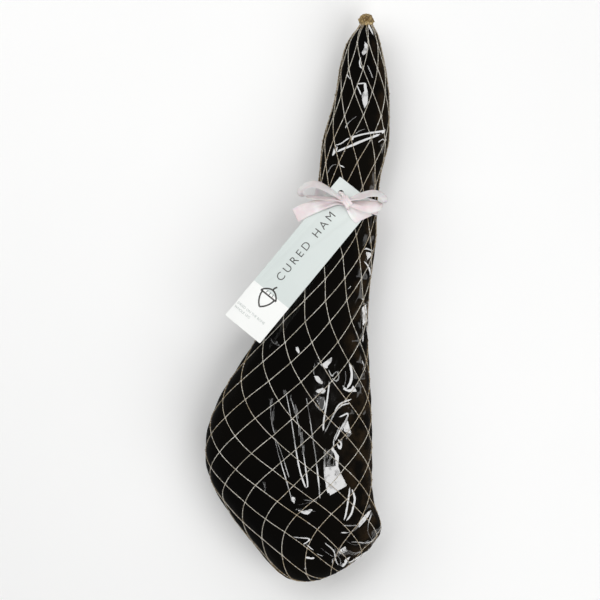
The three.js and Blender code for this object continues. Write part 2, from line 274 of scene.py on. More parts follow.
def film_material():
    """Black gloss film. Its panes and creases face the light; it is hazier where it is crumpled, and its
    right side is tinted warm and brownish as painted light.
    """
    s = Shader("black_gloss_film")
    crumple = s.attribute("crumple")
    ragged = s.noise(240.0, 2.0) - 0.5
    pane = (s.attribute("pane") + 1.6 * ragged).step(-0.15, 0.15)
    torn = s.noise(55.0, 4.0, s.stretched(s.place(), (1.6, 0.6, 1.0)), 0.6)
    flash = pane * (1 - 0.8 * torn.step(0.58, 0.7))
    dull = 0.35 * s.noise(90.0, 2.0).step(0.5, 0.65) * pane
    streaks = s.noise(30.0, 3.0, s.stretched(s.place(), (12.0, 1.0, 4.0)), 0.6)
    smear = s.attribute("smear").step(-0.6, 1.2) * streaks.step(0.42, 0.58)
    flash = flash.math("MAXIMUM", smear)
    dull = dull.math("MAXIMUM", smear * (1 - pane))
    for i in range(CREASE_SETS):
        mark = s.attribute(f"crease_{i + 1}", "Vector")
        left, shown, faint = (s.part(mark, axis) for axis in "XYZ")
        line = (shown - left.math("ABSOLUTE") + 0.8 * ragged).step(-0.25, 0.3)
        flash = flash.math("MAXIMUM", line)
        dull = dull.math("MAXIMUM", line * faint)
    wander = s.node("ShaderNodeTexNoise", {}, {"Vector": s.place(), "Scale": 70.0}, output="Color")
    wander = s.vector("SUBTRACT", wander, (0.5,) * 3)
    to_light = s.attribute("to_light", "Vector")
    facing = s.vector("MULTIPLY_ADD", wander, (FACING_WANDER,) * 3, to_light)
    plain = s.node("ShaderNodeNewGeometry", output="Normal")
    near = s.vector("DOT_PRODUCT", plain, to_light, output="Value").step(KEY_NEAR, KEY_MIRRORED)
    to_right = s.part(s.vector("SUBTRACT", plain, to_light), "X")
    swing = (2 * to_right.math("GREATER_THAN", 0.0) - 1) * near * KEY_SWING
    plain = s.vector("ADD", plain, s.node("ShaderNodeCombineXYZ", {}, {0: swing}))
    turned = s.node("ShaderNodeMix", {"data_type": "VECTOR"}, {0: flash, 4: plain, 5: facing}, output=1)
    turned = s.vector("NORMALIZE", turned)
    drawn = s.noise(9.0, 2.0, s.stretched(s.place(), (9.0, 1.0, 9.0)), 0.5, 0.6)
    wrinkles = s.noise(60.0, 3.0, s.stretched(s.place(), (1.0, 0.5, 1.0)), 0.5, 0.8)
    tint = s.mix(s.noise(6.0, 2.0).step(0.35, 0.7), FILM_BLACK, FILM_BROWN_BLACK)
    # painted light: in patches, the film's right side is tinted warm and brownish where it faces the light
    tint = s.mix(s.attribute("brown") * s.noise(45.0, 4.0).step(0.38, 0.7), tint, FILM_PAINTED_LIGHT_WARM)
    haze = s.noise(14.0, 4.0)
    return s.finish(
        Base_Color=tint,
        Roughness=(0.06 + 0.07 * haze.step(0.45, 0.75) + 0.06 * crumple + 0.42 * dull).clamped(),
        IOR=1.5,
        Normal=s.bump(drawn * 0.35 + wrinkles * 0.4 * crumple, 0.0011, 0.7, turned),
    )


def yarn_material(name, dark, light, warm, grain):
    """Twisted cotton: each ply darker in its groove as painted shade, with flecks, warm patches, painted warm
    shade on the strands round the ham's sides, and loose fibres.
    """
    s = Shader(name)
    groove = s.attribute("groove")
    along = s.noise(grain, 3.0)
    flecks = s.noise(420.0, 2.0, None, 0.6)
    patches = s.noise(0.18 * grain, 2.0).step(0.5, 0.62)
    fibres = s.noise(1500.0, 3.0, None, 0.7)
    base = s.mix(along.step(0.3, 0.72), dark, light)
    # painted shade: strands round the sides of the ham and up the gathered neck turn warmer and darker; on
    # the tuft the same share is a random tone
    base = s.mix((0.6 * patches + 0.8 * s.attribute("flank")).clamped(), base, warm)
    # painted shade: each ply is darkened in the groove between the plies
    base = s.mix((1 - groove) * 0.6, base, tuple(0.25 * c for c in dark))
    base = s.mix(flecks.step(0.52, 0.66) * 0.55, base, tuple(0.3 * c for c in dark))
    base = s.mix(flecks.step(0.5, 0.36) * 0.6, base, tuple(min(0.95, 1.25 * c) for c in light))
    return s.finish(
        Base_Color=base,
        Roughness=0.78 + 0.16 * fibres,
        Sheen_Weight=0.2,
        Sheen_Roughness=0.5,
        Normal=s.bump(fibres + flecks, 0.0003, 0.8),
    )


RIBS_ACROSS, WEFTS_ALONG = 60, 1900  # over the ribbon's width, and over one repeat of its weave


def satin_material():
    """Pale pink satin: fine ribs both ways, a thicker selvedge, a soft directional sheen, and patches of
    painted light and shade between a lit and a shaded pink.
    """
    s = Shader("pink_satin")
    across = s.uv("Y")
    along = s.uv("X")
    ribs = (across * 2 * math.pi * RIBS_ACROSS).math("SINE")
    weft = (along * 2 * math.pi * WEFTS_ALONG).math("SINE")
    edge = (across - 0.5).math("ABSOLUTE").step(0.455, 0.475)
    # painted light and shade: noise mixes a shaded pink and a lit near-white in patches; the same noise
    # varies the roughness
    shade = s.noise(42.0, 2.0)
    base = s.mix(shade.step(0.3, 0.7), (0.84, 0.715, 0.73), (0.965, 0.925, 0.915))
    base = s.mix(edge * 0.5, base, (0.96, 0.93, 0.92))
    return s.finish(
        Base_Color=base,
        Roughness=0.36 + 0.08 * shade + 0.12 * edge,
        Anisotropic=0.55,
        Sheen_Weight=0.35,
        Sheen_Roughness=0.35,
        Subsurface_Weight=0.12,
        Subsurface_Scale=0.002,
        Normal=s.bump(0.5 * ribs + 0.35 * weft + 3.0 * edge, 0.00006, 0.6),
    )


TONES_MEET = 0.25  # how far up the card its two tones meet, as a share of its length


def card_material():
    """Smooth coated card in two tones, split square across its length, with a faint tooth."""
    s = Shader("coated_card")
    along = s.uv("Y")
    tooth = s.noise(1400.0, 3.0)
    flow = s.noise(5.0, 2.0)
    tone = s.mix(flow.step(0.3, 0.7), (0.655, 0.715, 0.695), (0.705, 0.755, 0.735))
    base = s.mix(along.step(TONES_MEET - 0.0005, TONES_MEET + 0.0005), (0.93, 0.94, 0.92), tone)
    return s.finish(
        Base_Color=base,
        Roughness=0.38 + 0.1 * tooth,
        Coat_Weight=0.15,
        Coat_Roughness=0.3,
        Normal=s.bump(tooth, 0.00004, 0.5),
    )


def ink_material(name, color):
    """Printing ink that lies a little glossier than its card."""
    s = Shader(name)
    grain = s.noise(1800.0, 2.0)
    base = s.mix(grain.step(0.35, 0.75) * 0.25, color, tuple(min(1, 1.5 * c + 0.02) for c in color))
    return s.finish(Base_Color=base, Roughness=0.34 + 0.1 * grain, Normal=s.bump(grain, 0.00002, 0.5))


def rind_material():
    """Dry cured rind and fat: amber skin, pale fat patches, dark spots and a waxy tooth."""
    s = Shader("cured_rind")
    broad = s.noise(7.0, 5.0)
    spots = s.cells(60.0).step(0.05, 0.3)
    wrinkles = s.noise(26.0, 5.0, s.stretched(s.place(), (2.5, 0.7, 2.5)))
    base = s.ramp(
        broad,
        [(0.25, (0.16, 0.06, 0.025)), (0.5, (0.36, 0.17, 0.07)), (0.75, (0.62, 0.42, 0.2))],
    )
    base = s.mix((1 - spots) * 0.6, base, (0.09, 0.035, 0.02))
    return s.finish(
        Base_Color=base,
        Roughness=0.45 + 0.3 * wrinkles,
        Subsurface_Weight=0.08,
        Subsurface_Scale=0.004,
        Normal=s.bump(wrinkles + 0.3 * spots, 0.002, 0.7),
    )


def floor_material():
    s = Shader("pale_floor")
    grain = s.noise(4.0, 2.0)
    base = s.mix(grain, (0.93, 0.93, 0.925), (0.95, 0.95, 0.945))
    return s.finish(Base_Color=base, Roughness=0.85 + 0.1 * grain, Specular_IOR_Level=0.1)


def add_floor():
    bpy.ops.mesh.primitive_plane_add(size=14, location=(0, 0, 0))
    floor = bpy.context.object
    floor.name = "floor"
    floor.data.materials.append(floor_material())
    floor.visible_glossy = False
    floor.select_set(False)


add_floor()

# ---------------------------------------------------------------- the leg's skin as a map


class Skin:
    """The leg's surface, smoothed between the corners of its facets."""

    def __init__(self, node):
        shape = bmesh.new()
        shape.from_mesh(node.data)
        bmesh.ops.remove_doubles(shape, verts=shape.verts, dist=1e-5)
        shape.normal_update()
        shape.faces.ensure_lookup_table()
        self.tree = BVHTree.FromBMesh(shape)
        self.corners = np.array([[list(v.co) for v in f.verts] for f in shape.faces])
        self.normals = np.array([[list(v.normal) for v in f.verts] for f in shape.faces])
        shape.free()

    def reach(self, origin, way):
        return self.tree.ray_cast(origin, way)[0]

    def seen(self, origins, ways):
        """Where rays from inside meet the skin, and which way it faces there."""
        points, faces = [], []
        for origin, way in zip(origins, ways):
            point, _, face, _ = self.tree.ray_cast(Vector(origin), Vector(way))
            points.append(tuple(point))
            faces.append(face)
        flat = np.array(points)
        corners = self.corners[faces]
        normals = self.normals[faces]
        sides = [corners[:, (i + 2) % 3] - corners[:, (i + 1) % 3] for i in range(3)]
        parts = [np.linalg.norm(np.cross(sides[i], flat - corners[:, (i + 1) % 3]), axis=1) for i in range(3)]
        shares = np.stack(parts, 1)
        shares /= shares.sum(1, keepdims=True)
        away = np.einsum("nki,nki->nk", flat[:, None] - corners, normals)
        lift = -np.einsum("nk,nk,nki->ni", shares, away, normals)
        facing = np.einsum("nk,nki->ni", shares, normals)
        facing /= np.linalg.norm(facing, axis=1, keepdims=True)
        return flat + 0.75 * lift, facing


def box_middle(node):
    low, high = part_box(node)
    return (low + high) / 2


skin = Skin(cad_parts["ham_leg"])
leg_low, leg_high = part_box("ham_leg")
leg_size = leg_high - leg_low
SECTION_TURN = math.radians(10)  # the leg's sections are square to its length, which leans
LENGTHWISE = Vector((math.sin(SECTION_TURN), -math.cos(SECTION_TURN), 0))
CROSSWISE = Vector((math.cos(SECTION_TURN), math.sin(SECTION_TURN), 0))
TIP_FAN, BUTT_FAN = 0.08, 0.72  # where the sections stop turning about the tip, and start at the butt


def end_of_leg(tie):
    """The point of the leg under a tie, and the way from it to the tie."""
    middle = box_middle(tie)
    point, facing, _, _ = skin.tree.find_nearest(middle)
    return point, (middle - point).normalized()


tip_point, tip_way = end_of_leg("top_tie")
butt_point, butt_way = end_of_leg("butt_tie")


def centre_at(y):
    """The middle of the leg's section through a point at y, and its half width and thickness."""
    middle = Vector((leg_low.x + 0.52 * leg_size.x, y, leg_low.z + 0.42 * leg_size.z))
    for _ in range(3):
        left = skin.reach(middle, -CROSSWISE)
        right = skin.reach(middle, CROSSWISE)
        middle = (left + right) / 2
        top = skin.reach(middle, UP)
        bottom = skin.reach(middle, -UP)
        middle = (top + bottom) / 2
    return middle, (right - left).length / 2, (top - bottom).length / 2


SPINE_TOP = leg_high.y - 0.035 * leg_size.y
SPINE_FOOT = leg_low.y + 0.155 * leg_size.y
spine_rows = []
for y in np.linspace(SPINE_TOP, SPINE_FOOT, 36):
    middle, half_width, half_thickness = centre_at(float(y))
    spine_rows.append([*middle, half_width, half_thickness])
spine = np.array(spine_rows)
for _ in range(4):
    spine[1:-1] = (spine[:-2] + 2 * spine[1:-1] + spine[2:]) / 4


def ray(q, angle):
    """The ray from inside the leg that goes with q, 0 at the hoof and 1 at the butt, and angle."""
    share = min(max((q - TIP_FAN) / (BUTT_FAN - TIP_FAN), 0), 1) * (len(spine) - 1)
    row = min(int(share), len(spine) - 2)
    x, y, z, wide, thick = spine[row] + (share - row) * (spine[row + 1] - spine[row])
    origin = Vector((x, y, z))
    if q < TIP_FAN:
        turn = q / TIP_FAN
        end = (origin - tip_point).normalized()
    else:
        turn = 1 + max(q - BUTT_FAN, 0) / (1 - BUTT_FAN)
        end = (butt_point - origin).normalized()
    square = 1 - abs(turn - 1)
    ahead = (LENGTHWISE * square**0.7 + end * (1 - square**0.7)).normalized() if square < 1 else LENGTHWISE
    side = (CROSSWISE - ahead * CROSSWISE.dot(ahead)).normalized()
    up = side.cross(ahead) * -1 if side.cross(ahead).z < 0 else side.cross(ahead)
    radial = (side * (math.cos(angle) * wide) + up * (math.sin(angle) * thick)).normalized()
    swing = turn * math.pi / 2
    return origin, radial * math.sin(swing) - ahead * math.cos(swing)


ROWS, TURNS = 400, 248
TOP_SHARE = 0.35  # how far the columns crowd towards the top, where the film shows most


def measured_q():
    """The q of each row, so that rows are evenly spaced along the skin."""
    steps = np.linspace(0, 1, 500)
    far = np.zeros(len(steps))
    for k in range(8):
        rays = [ray(float(q), k * math.pi / 4) for q in steps]
        points, _ = skin.seen([r[0] for r in rays], [r[1] for r in rays])
        far[1:] += np.cumsum(np.linalg.norm(np.diff(points, axis=0), axis=1)) / 8
    return np.interp(np.linspace(0, far[-1], ROWS + 1), far, steps), far[-1]


row_q, SKIN_LENGTH = measured_q()
even = 2 * math.pi * np.arange(TURNS) / TURNS
angles = even + TOP_SHARE * np.cos(even)
all_rays = [ray(float(q), float(a)) for q in row_q for a in angles]
base, facing = skin.seen([r[0] for r in all_rays], [r[1] for r in all_rays])
base = base.reshape(ROWS + 1, TURNS, 3)
facing = facing.reshape(ROWS + 1, TURNS, 3)


def smoothed(grid, times):
    """A grid over the skin, eased along and around, with its end rows kept."""
    for _ in range(times):
        around = (np.roll(grid, 1, 1) + np.roll(grid, -1, 1)) / 2
        grid = 0.5 * grid + 0.5 * around
        grid[1:-1] = 0.5 * grid[1:-1] + 0.25 * (grid[:-2] + grid[2:])
    return grid


base = smoothed(base, 10)
facing = smoothed(facing, 24)
facing /= np.linalg.norm(facing, axis=2, keepdims=True)
girth = np.linalg.norm(np.diff(base, axis=1, append=base[:, :1]), axis=2).sum(1)


def sampled(grid, t, angle):
    """A grid's values at places on the skin: t from 0 at the hoof to 1 at the butt."""
    row = np.clip(np.asarray(t) * ROWS, 0, ROWS - 1e-6)
    turn = 2 * math.pi
    wrapped = angles[0] + (np.asarray(angle) - angles[0]) % turn
    column = np.interp(wrapped, np.append(angles, angles[0] + turn), np.arange(TURNS + 1))
    i, j = row.astype(int), column.astype(int) % TURNS
    u, v = (row - i)[..., None], (column - np.floor(column))[..., None]
    j2 = (j + 1) % TURNS
    above = grid[i, j] * (1 - v) + grid[i, j2] * v
    below = grid[i + 1, j] * (1 - v) + grid[i + 1, j2] * v
    return above * (1 - u) + below * u


# ---------------------------------------------------------------- building meshes


def add_mesh(name, points, faces, material, smooth=True):
    mesh = bpy.data.meshes.new(name)
    mesh.from_pydata([tuple(p) for p in points], [], [tuple(int(i) for i in f) for f in faces])
    mesh.materials.append(material)
    if smooth:
        mesh.polygons.foreach_set("use_smooth", [True] * len(mesh.polygons))
    obj = bpy.data.objects.new(name, mesh)
    bpy.context.scene.collection.objects.link(obj)
    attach(obj, "root")
    return obj


def paint(obj, name, values):
    values = np.asarray(values, dtype=np.float32)
    kind, field = ("FLOAT", "value") if values.ndim == 1 else ("FLOAT_VECTOR", "vector")
    layer = obj.data.attributes.new(name, kind, "POINT")
    layer.data.foreach_set(field, values.ravel())


def walked(path):
    """How far along a path each of its points is."""
    return np.concatenate([[0], np.cumsum(np.linalg.norm(np.diff(path, axis=0), axis=1))])


def curve_through(points, step):
    """Points evenly spaced along a smooth curve through given points."""
    points = np.asarray(points, float)
    padded = np.concatenate([[2 * points[0] - points[1]], points, [2 * points[-1] - points[-2]]])
    dense = []
    for i in range(len(points) - 1):
        a, b, c, d = padded[i : i + 4]
        square, cube = 2 * a - 5 * b + 4 * c - d, 3 * b - a - 3 * c + d
        for s in np.arange(0, 1, 1 / 16):
            dense.append(0.5 * (2 * b + (c - a) * s + square * s**2 + cube * s**3))
    dense.append(points[-1])
    dense = np.array(dense)
    far = walked(dense[:, :3])
    count = max(int(round(far[-1] / step)), 3)
    wanted = np.linspace(0, far[-1], count + 1)
    return np.stack([np.interp(wanted, far, dense[:, k]) for k in range(dense.shape[1])], 1)


CUT_END = 0.55  # how much of its radius a length keeps at its cut ends
LOBE_DEPTH = 0.30  # how much of its radius is lost in the groove between the plies


class Yarn:
    """Lengths of two-ply yarn, gathered into one mesh."""

    def __init__(self, radius, pitch, sides=8):
        self.radius = radius
        self.pitch = pitch
        self.sides = sides
        self.points, self.faces, self.grooves, self.flank_shades_and_tones = [], [], [], []
        self.count = 0

    def lay(self, path, flank=0.0, start=0.0):
        """One length along a path, with how far round the side of the ham it lies, 0 to 1, which the yarn's
        colour turns into painted shade, warmer and darker; for the tuft that share is a random tone instead.
        """
        path = np.asarray(path, float)
        n, k = len(path), self.sides
        ahead = np.gradient(path, axis=0)
        ahead /= np.linalg.norm(ahead, axis=1, keepdims=True) + 1e-12
        normals = np.zeros_like(path)
        normal = np.cross(ahead[0], [0.31, 0.52, 0.79])
        for i in range(n):
            normal = normal - ahead[i] * normal.dot(ahead[i])
            normal /= np.linalg.norm(normal)
            normals[i] = normal
        across = np.cross(ahead, normals)
        across /= np.linalg.norm(across, axis=1, keepdims=True) + 1e-12
        upward = np.cross(across, ahead)
        far = walked(path)
        twist = 2 * math.pi * (far / self.pitch + start)
        round_it = 2 * math.pi * np.arange(k) / k
        lobes = np.abs(np.cos(round_it[None] - twist[:, None]))
        wide = np.full(n, self.radius)
        wide[[0, -1]] *= CUT_END
        out = wide[:, None] * (1 - LOBE_DEPTH + LOBE_DEPTH * lobes)
        ring = (
            path[:, None]
            + out[..., None] * np.cos(round_it)[None, :, None] * across[:, None]
            + out[..., None] * np.sin(round_it)[None, :, None] * upward[:, None]
        )
        index = self.count + np.arange(n * k).reshape(n, k)
        nxt = np.roll(index, -1, 1)
        quads = np.stack([index[:-1], nxt[:-1], nxt[1:], index[1:]], -1).reshape(-1, 4)
        self.points.append(ring.reshape(-1, 3))
        self.grooves.append(lobes.reshape(-1))
        self.flank_shades_and_tones.append(np.repeat(np.full(n, flank) if np.isscalar(flank) else flank, k))
        self.faces.extend(map(tuple, quads))
        self.faces.append(tuple(index[0][::-1]))
        self.faces.append(tuple(index[-1]))
        self.count += n * k

    def made(self, name, material):
        obj = add_mesh(name, np.concatenate(self.points), self.faces, material)
        # the yarn's colour turns low values of this into painted shade in the grooves
        paint(obj, "groove", np.concatenate(self.grooves))
        # how much painted shade a strand takes round the ham's sides, or the tuft's random tone
        paint(obj, "flank", np.concatenate(self.flank_shades_and_tones))
        return obj


# ---------------------------------------------------------------- the net's layout

MESH_SIDE = 34 * MM  # one side of a diamond, knot to knot
DIAMONDS = 12  # round the leg
YARN_RADIUS = 0.5 * MM
YARN_PITCH = 5 * MM
YARN_STEP = 1.3 * MM
NET_END = 0.009  # how near the ends of the skin a strand runs, as a share of its length
KNOTS_END = 0.012  # how near the butt a row of knots may lie


def eased(x):
    x = np.clip(x, 0, 1)
    return x * x * (3 - 2 * x)


def net_rows():
    """How far down the skin each row of knots lies: the diamonds narrow as the leg does."""
    rows = [0.0]
    while True:
        t = rows[-1]
        for _ in range(3):
            middle = (rows[-1] + t) / 2
            half = np.interp(middle, np.linspace(0, 1, ROWS + 1), girth) / (2 * DIAMONDS)
            t = rows[-1] + math.sqrt(max(MESH_SIDE**2 - half**2, (0.3 * MESH_SIDE) ** 2)) / SKIN_LENGTH
        if t > 1 - KNOTS_END:
            return rows
        rows.append(t)


rows = net_rows()


# How the net lies on the leg. It is turned round the shank, its diamonds are opened on top at
# the hoof and closed a little over the bulge, and it has slid down the shank and is drawn up at
# the butt. Each change eases in between two rows of knots.
SHANK_TURN = math.radians(-10)
TURNED, TURNED_BACK = (1, 5), (10, 13)
HOOF_OPEN, BULGE_OPEN = 0.35, -0.12
CLOSED_IN = (3, 12)
SHANK_SLID, BUTT_SLID = 3.5 * MM, -10 * MM
SLID_DOWN, DRAWN_UP = (5, 9), (18, 26)
KNOT_WANDER_ALONG, KNOT_WANDER_ROUND = 1.4 * MM, 0.03


def between(row, span):
    """0 up to the first row of a span, 1 from its last row, smooth between."""
    return eased((row - span[0]) / (span[1] - span[0]))


def net_lie(row):
    """The net's turn, how much wider its diamonds are on top than at the sides, and its slide."""
    turn = SHANK_TURN * (between(row, TURNED) - between(row, TURNED_BACK))
    wider = HOOF_OPEN + (BULGE_OPEN - HOOF_OPEN) * between(row, CLOSED_IN)
    slid = SHANK_SLID * between(row, SLID_DOWN) + (BUTT_SLID - SHANK_SLID) * between(row, DRAWN_UP)
    return turn, wider, slid


def knot_place(row, column):
    """The t and angle of a knot. Columns count half diamonds round from the top of the leg."""
    column %= 2 * DIAMONDS
    wander = noise.noise_vector(Vector((1.7 * row + 0.3, 2.3 * column + 0.7, 5.1)))
    turn, wider, slid = net_lie(row)
    t = rows[row] + (slid + KNOT_WANDER_ALONG * wander.x) / SKIN_LENGTH
    from_top = math.pi * column / DIAMONDS
    angle = math.pi / 2 + from_top + turn + 0.5 * wider * math.sin(2 * from_top)
    return t, angle + KNOT_WANDER_ROUND * wander.y


def strands():
    """Every strand of the net, as arrays of t and angle from the hoof to the butt."""
    for hand in (1, -1):
        for first in range(0, 2 * DIAMONDS, 2):
            knots = [knot_place(row, first + hand * row) for row in range(1, len(rows))]
            angle_line = [knots[0][1] - hand * math.pi / DIAMONDS * 0.5]
            t_line = [NET_END]
            for t, angle in knots:
                around = (angle - angle_line[-1] + math.pi) % (2 * math.pi) - math.pi
                t_line.append(t)
                angle_line.append(angle_line[-1] + around)
            t_line.append(1 - NET_END)
            angle_line.append(angle_line[-1] + hand * math.pi / DIAMONDS * 0.5)
            yield hand, np.array(t_line), np.array(angle_line)


def spread(t_line, angle_line, step):
    """A strand's t and angle at even steps of real distance."""
    dense = np.linspace(0, len(t_line) - 1, 40 * len(t_line))
    t = np.interp(dense, np.arange(len(t_line)), t_line)
    angle = np.interp(dense, np.arange(len(t_line)), angle_line)
    points = sampled(base, t, angle)
    far = walked(points)
    wanted = np.linspace(0, far[-1], int(far[-1] / step) + 1)
    return np.interp(wanted, far, t), np.interp(wanted, far, angle)


all_strands = [(hand, *spread(t, angle, YARN_STEP)) for hand, t, angle in strands()]


# ---------------------------------------------------------------- where the card and ribbon lie

CARD_WIDTH, CARD_LENGTH, CARD_WALL = 62 * MM, 248 * MM, 0.6 * MM
HOLE_ACROSS, HOLE_ALONG, HOLE_RADIUS = 15.5 * MM, 107 * MM, 4 * MM
RIBBON_WIDTH = 20 * MM


def corners_of(node):
    return np.array([list(v.co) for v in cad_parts[node].data.vertices])


def card_frame():
    """The card's middle, with x across it, y towards its holes and z off its face."""
    points = corners_of("hang_tag")
    middle = points.mean(0)
    normal = np.linalg.svd(points - middle)[2][2]
    normal *= np.sign(normal[2])
    edges = [e.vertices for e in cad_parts["hang_tag"].data.edges]
    ways = [points[b] - points[a] for a, b in edges]
    ways = [w / np.linalg.norm(w) for w in ways if np.linalg.norm(w) > CARD_WIDTH]
    widths = [np.ptp((points - middle) @ np.cross(w, normal)) for w in ways]
    along = ways[int(np.argmin(widths))]
    along = along * np.sign(along[1])
    axes = np.array([np.cross(along, normal), along, normal])
    spans = (points - middle) @ axes.T
    middle = middle + ((spans.min(0) + spans.max(0)) / 2) @ axes
    place = Matrix(axes.T.tolist()).to_4x4()
    place.translation = middle
    return place


def band_plane():
    """The middle of the ribbon's band, and the way the leg runs through it."""
    ring = [p for p in corners_of("ribbon") if skin.tree.find_nearest(Vector(p))[3] < RIBBON_OFF + 0.8 * MM]
    ring = np.array(ring)
    middle = (ring.min(0) + ring.max(0)) / 2
    axis = Vector(np.linalg.svd(ring - ring.mean(0))[2][2])
    return Vector(middle), axis * (-1 if axis.y > 0 else 1)


card_place = card_frame()
band_middle, band_axis = band_plane()


def under_ribbon(points):
    """How much the band presses on the film: 1 under it, 0 clear of it."""
    far = np.abs((points - np.array(band_middle)) @ np.array(band_axis))
    return 1 - eased((far - 9 * MM) / (6 * MM))


def room_under_card(points, ways):
    """How far points can move along ways before they touch the card; large where it isn't over them."""
    axes = np.array(card_place.to_3x3())
    local = (points - np.array(card_place.translation)) @ axes
    slope = ways @ axes[:, 2]
    over = (np.abs(local[:, 0]) < CARD_WIDTH / 2 + 2 * MM) & (np.abs(local[:, 1]) < CARD_LENGTH / 2 + 2 * MM)
    over &= slope > 0.2
    return np.where(over, (-local[:, 2] - CARD_WALL) / np.maximum(slope, 0.2), 1.0)


# ---------------------------------------------------------------- the film

PUFF = 1.3 * MM  # how far the film stands up inside a diamond
PUFF_REACH = 8 * MM
TIP_LIFT = 10.5 * MM  # how far the film is drawn up past the hoof into its knot
TIP_REACH = 60 * MM
HIP = (0.98, 0.113)  # where a loose fold of film stands off the hip, in shares of the footprint
HIP_SLACK = 5 * MM
HIP_REACH = 26 * MM

# Flat panes that the film is stretched into, facing the light, as outlines seen from above in
# shares of the footprint.
PANES = [
    [
        (0.508, 0.386), (0.549, 0.385), (0.591, 0.399), (0.591, 0.39), (0.573, 0.381),
        (0.592, 0.379), (0.561, 0.378), (0.54, 0.383),
    ],
    [(0.51, 0.364), (0.537, 0.363), (0.569, 0.353), (0.555, 0.35), (0.533, 0.354)],
    [(0.532, 0.338), (0.569, 0.345), (0.589, 0.342), (0.58, 0.336), (0.547, 0.335)],
    [
        (0.667, 0.355), (0.696, 0.348), (0.719, 0.35), (0.724, 0.357), (0.752, 0.347),
        (0.709, 0.344), (0.677, 0.347),
    ],
    [(0.723, 0.297), (0.744, 0.284), (0.757, 0.275), (0.717, 0.277), (0.702, 0.286)],
    [
        (0.644, 0.214), (0.692, 0.217), (0.714, 0.217), (0.74, 0.204), (0.775, 0.187),
        (0.688, 0.165), (0.662, 0.188),
    ],
    [
        (0.663, 0.252), (0.681, 0.245), (0.71, 0.235), (0.715, 0.217), (0.703, 0.217),
        (0.688, 0.236), (0.666, 0.244),
    ],
    [(0.53, 0.136), (0.571, 0.135), (0.624, 0.141), (0.601, 0.13), (0.574, 0.13)],
    [(0.503, 0.157), (0.522, 0.155), (0.522, 0.144), (0.501, 0.151)],
    [(0.908, 0.146), (0.923, 0.148), (0.905, 0.134), (0.868, 0.117), (0.869, 0.129)],
    [(0.788, 0.072), (0.82, 0.084), (0.835, 0.076), (0.808, 0.068)],
    [(0.801, 0.051), (0.86, 0.066), (0.842, 0.049), (0.828, 0.045)],
    [(0.626, 0.056), (0.674, 0.057), (0.673, 0.054), (0.631, 0.052)],
    [(0.624, 0.034), (0.657, 0.036), (0.655, 0.033), (0.632, 0.032)],
    [(0.397, 0.405), (0.409, 0.407), (0.424, 0.398), (0.419, 0.394), (0.403, 0.4)],
    [
        (0.525, 0.873), (0.538, 0.874), (0.556, 0.857), (0.562, 0.84), (0.553, 0.829),
        (0.536, 0.841), (0.527, 0.851), (0.536, 0.86),
    ],
    [(0.499, 0.94), (0.519, 0.936), (0.517, 0.925), (0.501, 0.92), (0.49, 0.924), (0.502, 0.931)],
    [(0.433, 0.761), (0.45, 0.757), (0.449, 0.751), (0.433, 0.741), (0.428, 0.742), (0.431, 0.753)],
    [(0.5, 0.78), (0.521, 0.779), (0.522, 0.772), (0.506, 0.772)],
    [(0.642, 0.794), (0.671, 0.802), (0.657, 0.792)],
    [(0.679, 0.587), (0.715, 0.586), (0.708, 0.579), (0.694, 0.573)],
    [
        (0.731, 0.502), (0.721, 0.495), (0.705, 0.489), (0.716, 0.475), (0.725, 0.46),
        (0.734, 0.461), (0.737, 0.465), (0.75, 0.465), (0.743, 0.477), (0.736, 0.487),
    ],
]

# Greyer smears, where it is only drawn tight: outlines too.
SMEARS = [
    [(0.311, 0.313), (0.329, 0.315), (0.371, 0.258), (0.355, 0.253)],
    [(0.396, 0.326), (0.421, 0.325), (0.476, 0.292), (0.468, 0.286), (0.436, 0.299)],
    [(0.474, 0.275), (0.496, 0.273), (0.529, 0.237), (0.519, 0.224), (0.492, 0.249)],
    [(0.636, 0.241), (0.677, 0.248), (0.704, 0.218), (0.653, 0.215)],
    [(0.534, 0.331), (0.585, 0.331), (0.6, 0.314), (0.577, 0.306), (0.552, 0.317)],
    [(0.336, 0.189), (0.361, 0.169), (0.363, 0.151), (0.342, 0.168)],
    [(0.365, 0.331), (0.383, 0.333), (0.4, 0.317), (0.383, 0.317)],
    [(0.259, 0.415), (0.297, 0.411), (0.321, 0.403), (0.282, 0.405)],
    [(0.539, 0.342), (0.588, 0.344), (0.589, 0.336), (0.543, 0.333)],
    [(0.734, 0.277), (0.757, 0.275), (0.739, 0.265), (0.709, 0.258), (0.712, 0.267)],
    [(0.933, 0.114), (0.994, 0.126), (1.01, 0.105), (0.947, 0.087)],
    [(0.763, 0.077), (0.83, 0.086), (0.856, 0.07), (0.789, 0.061)],
]

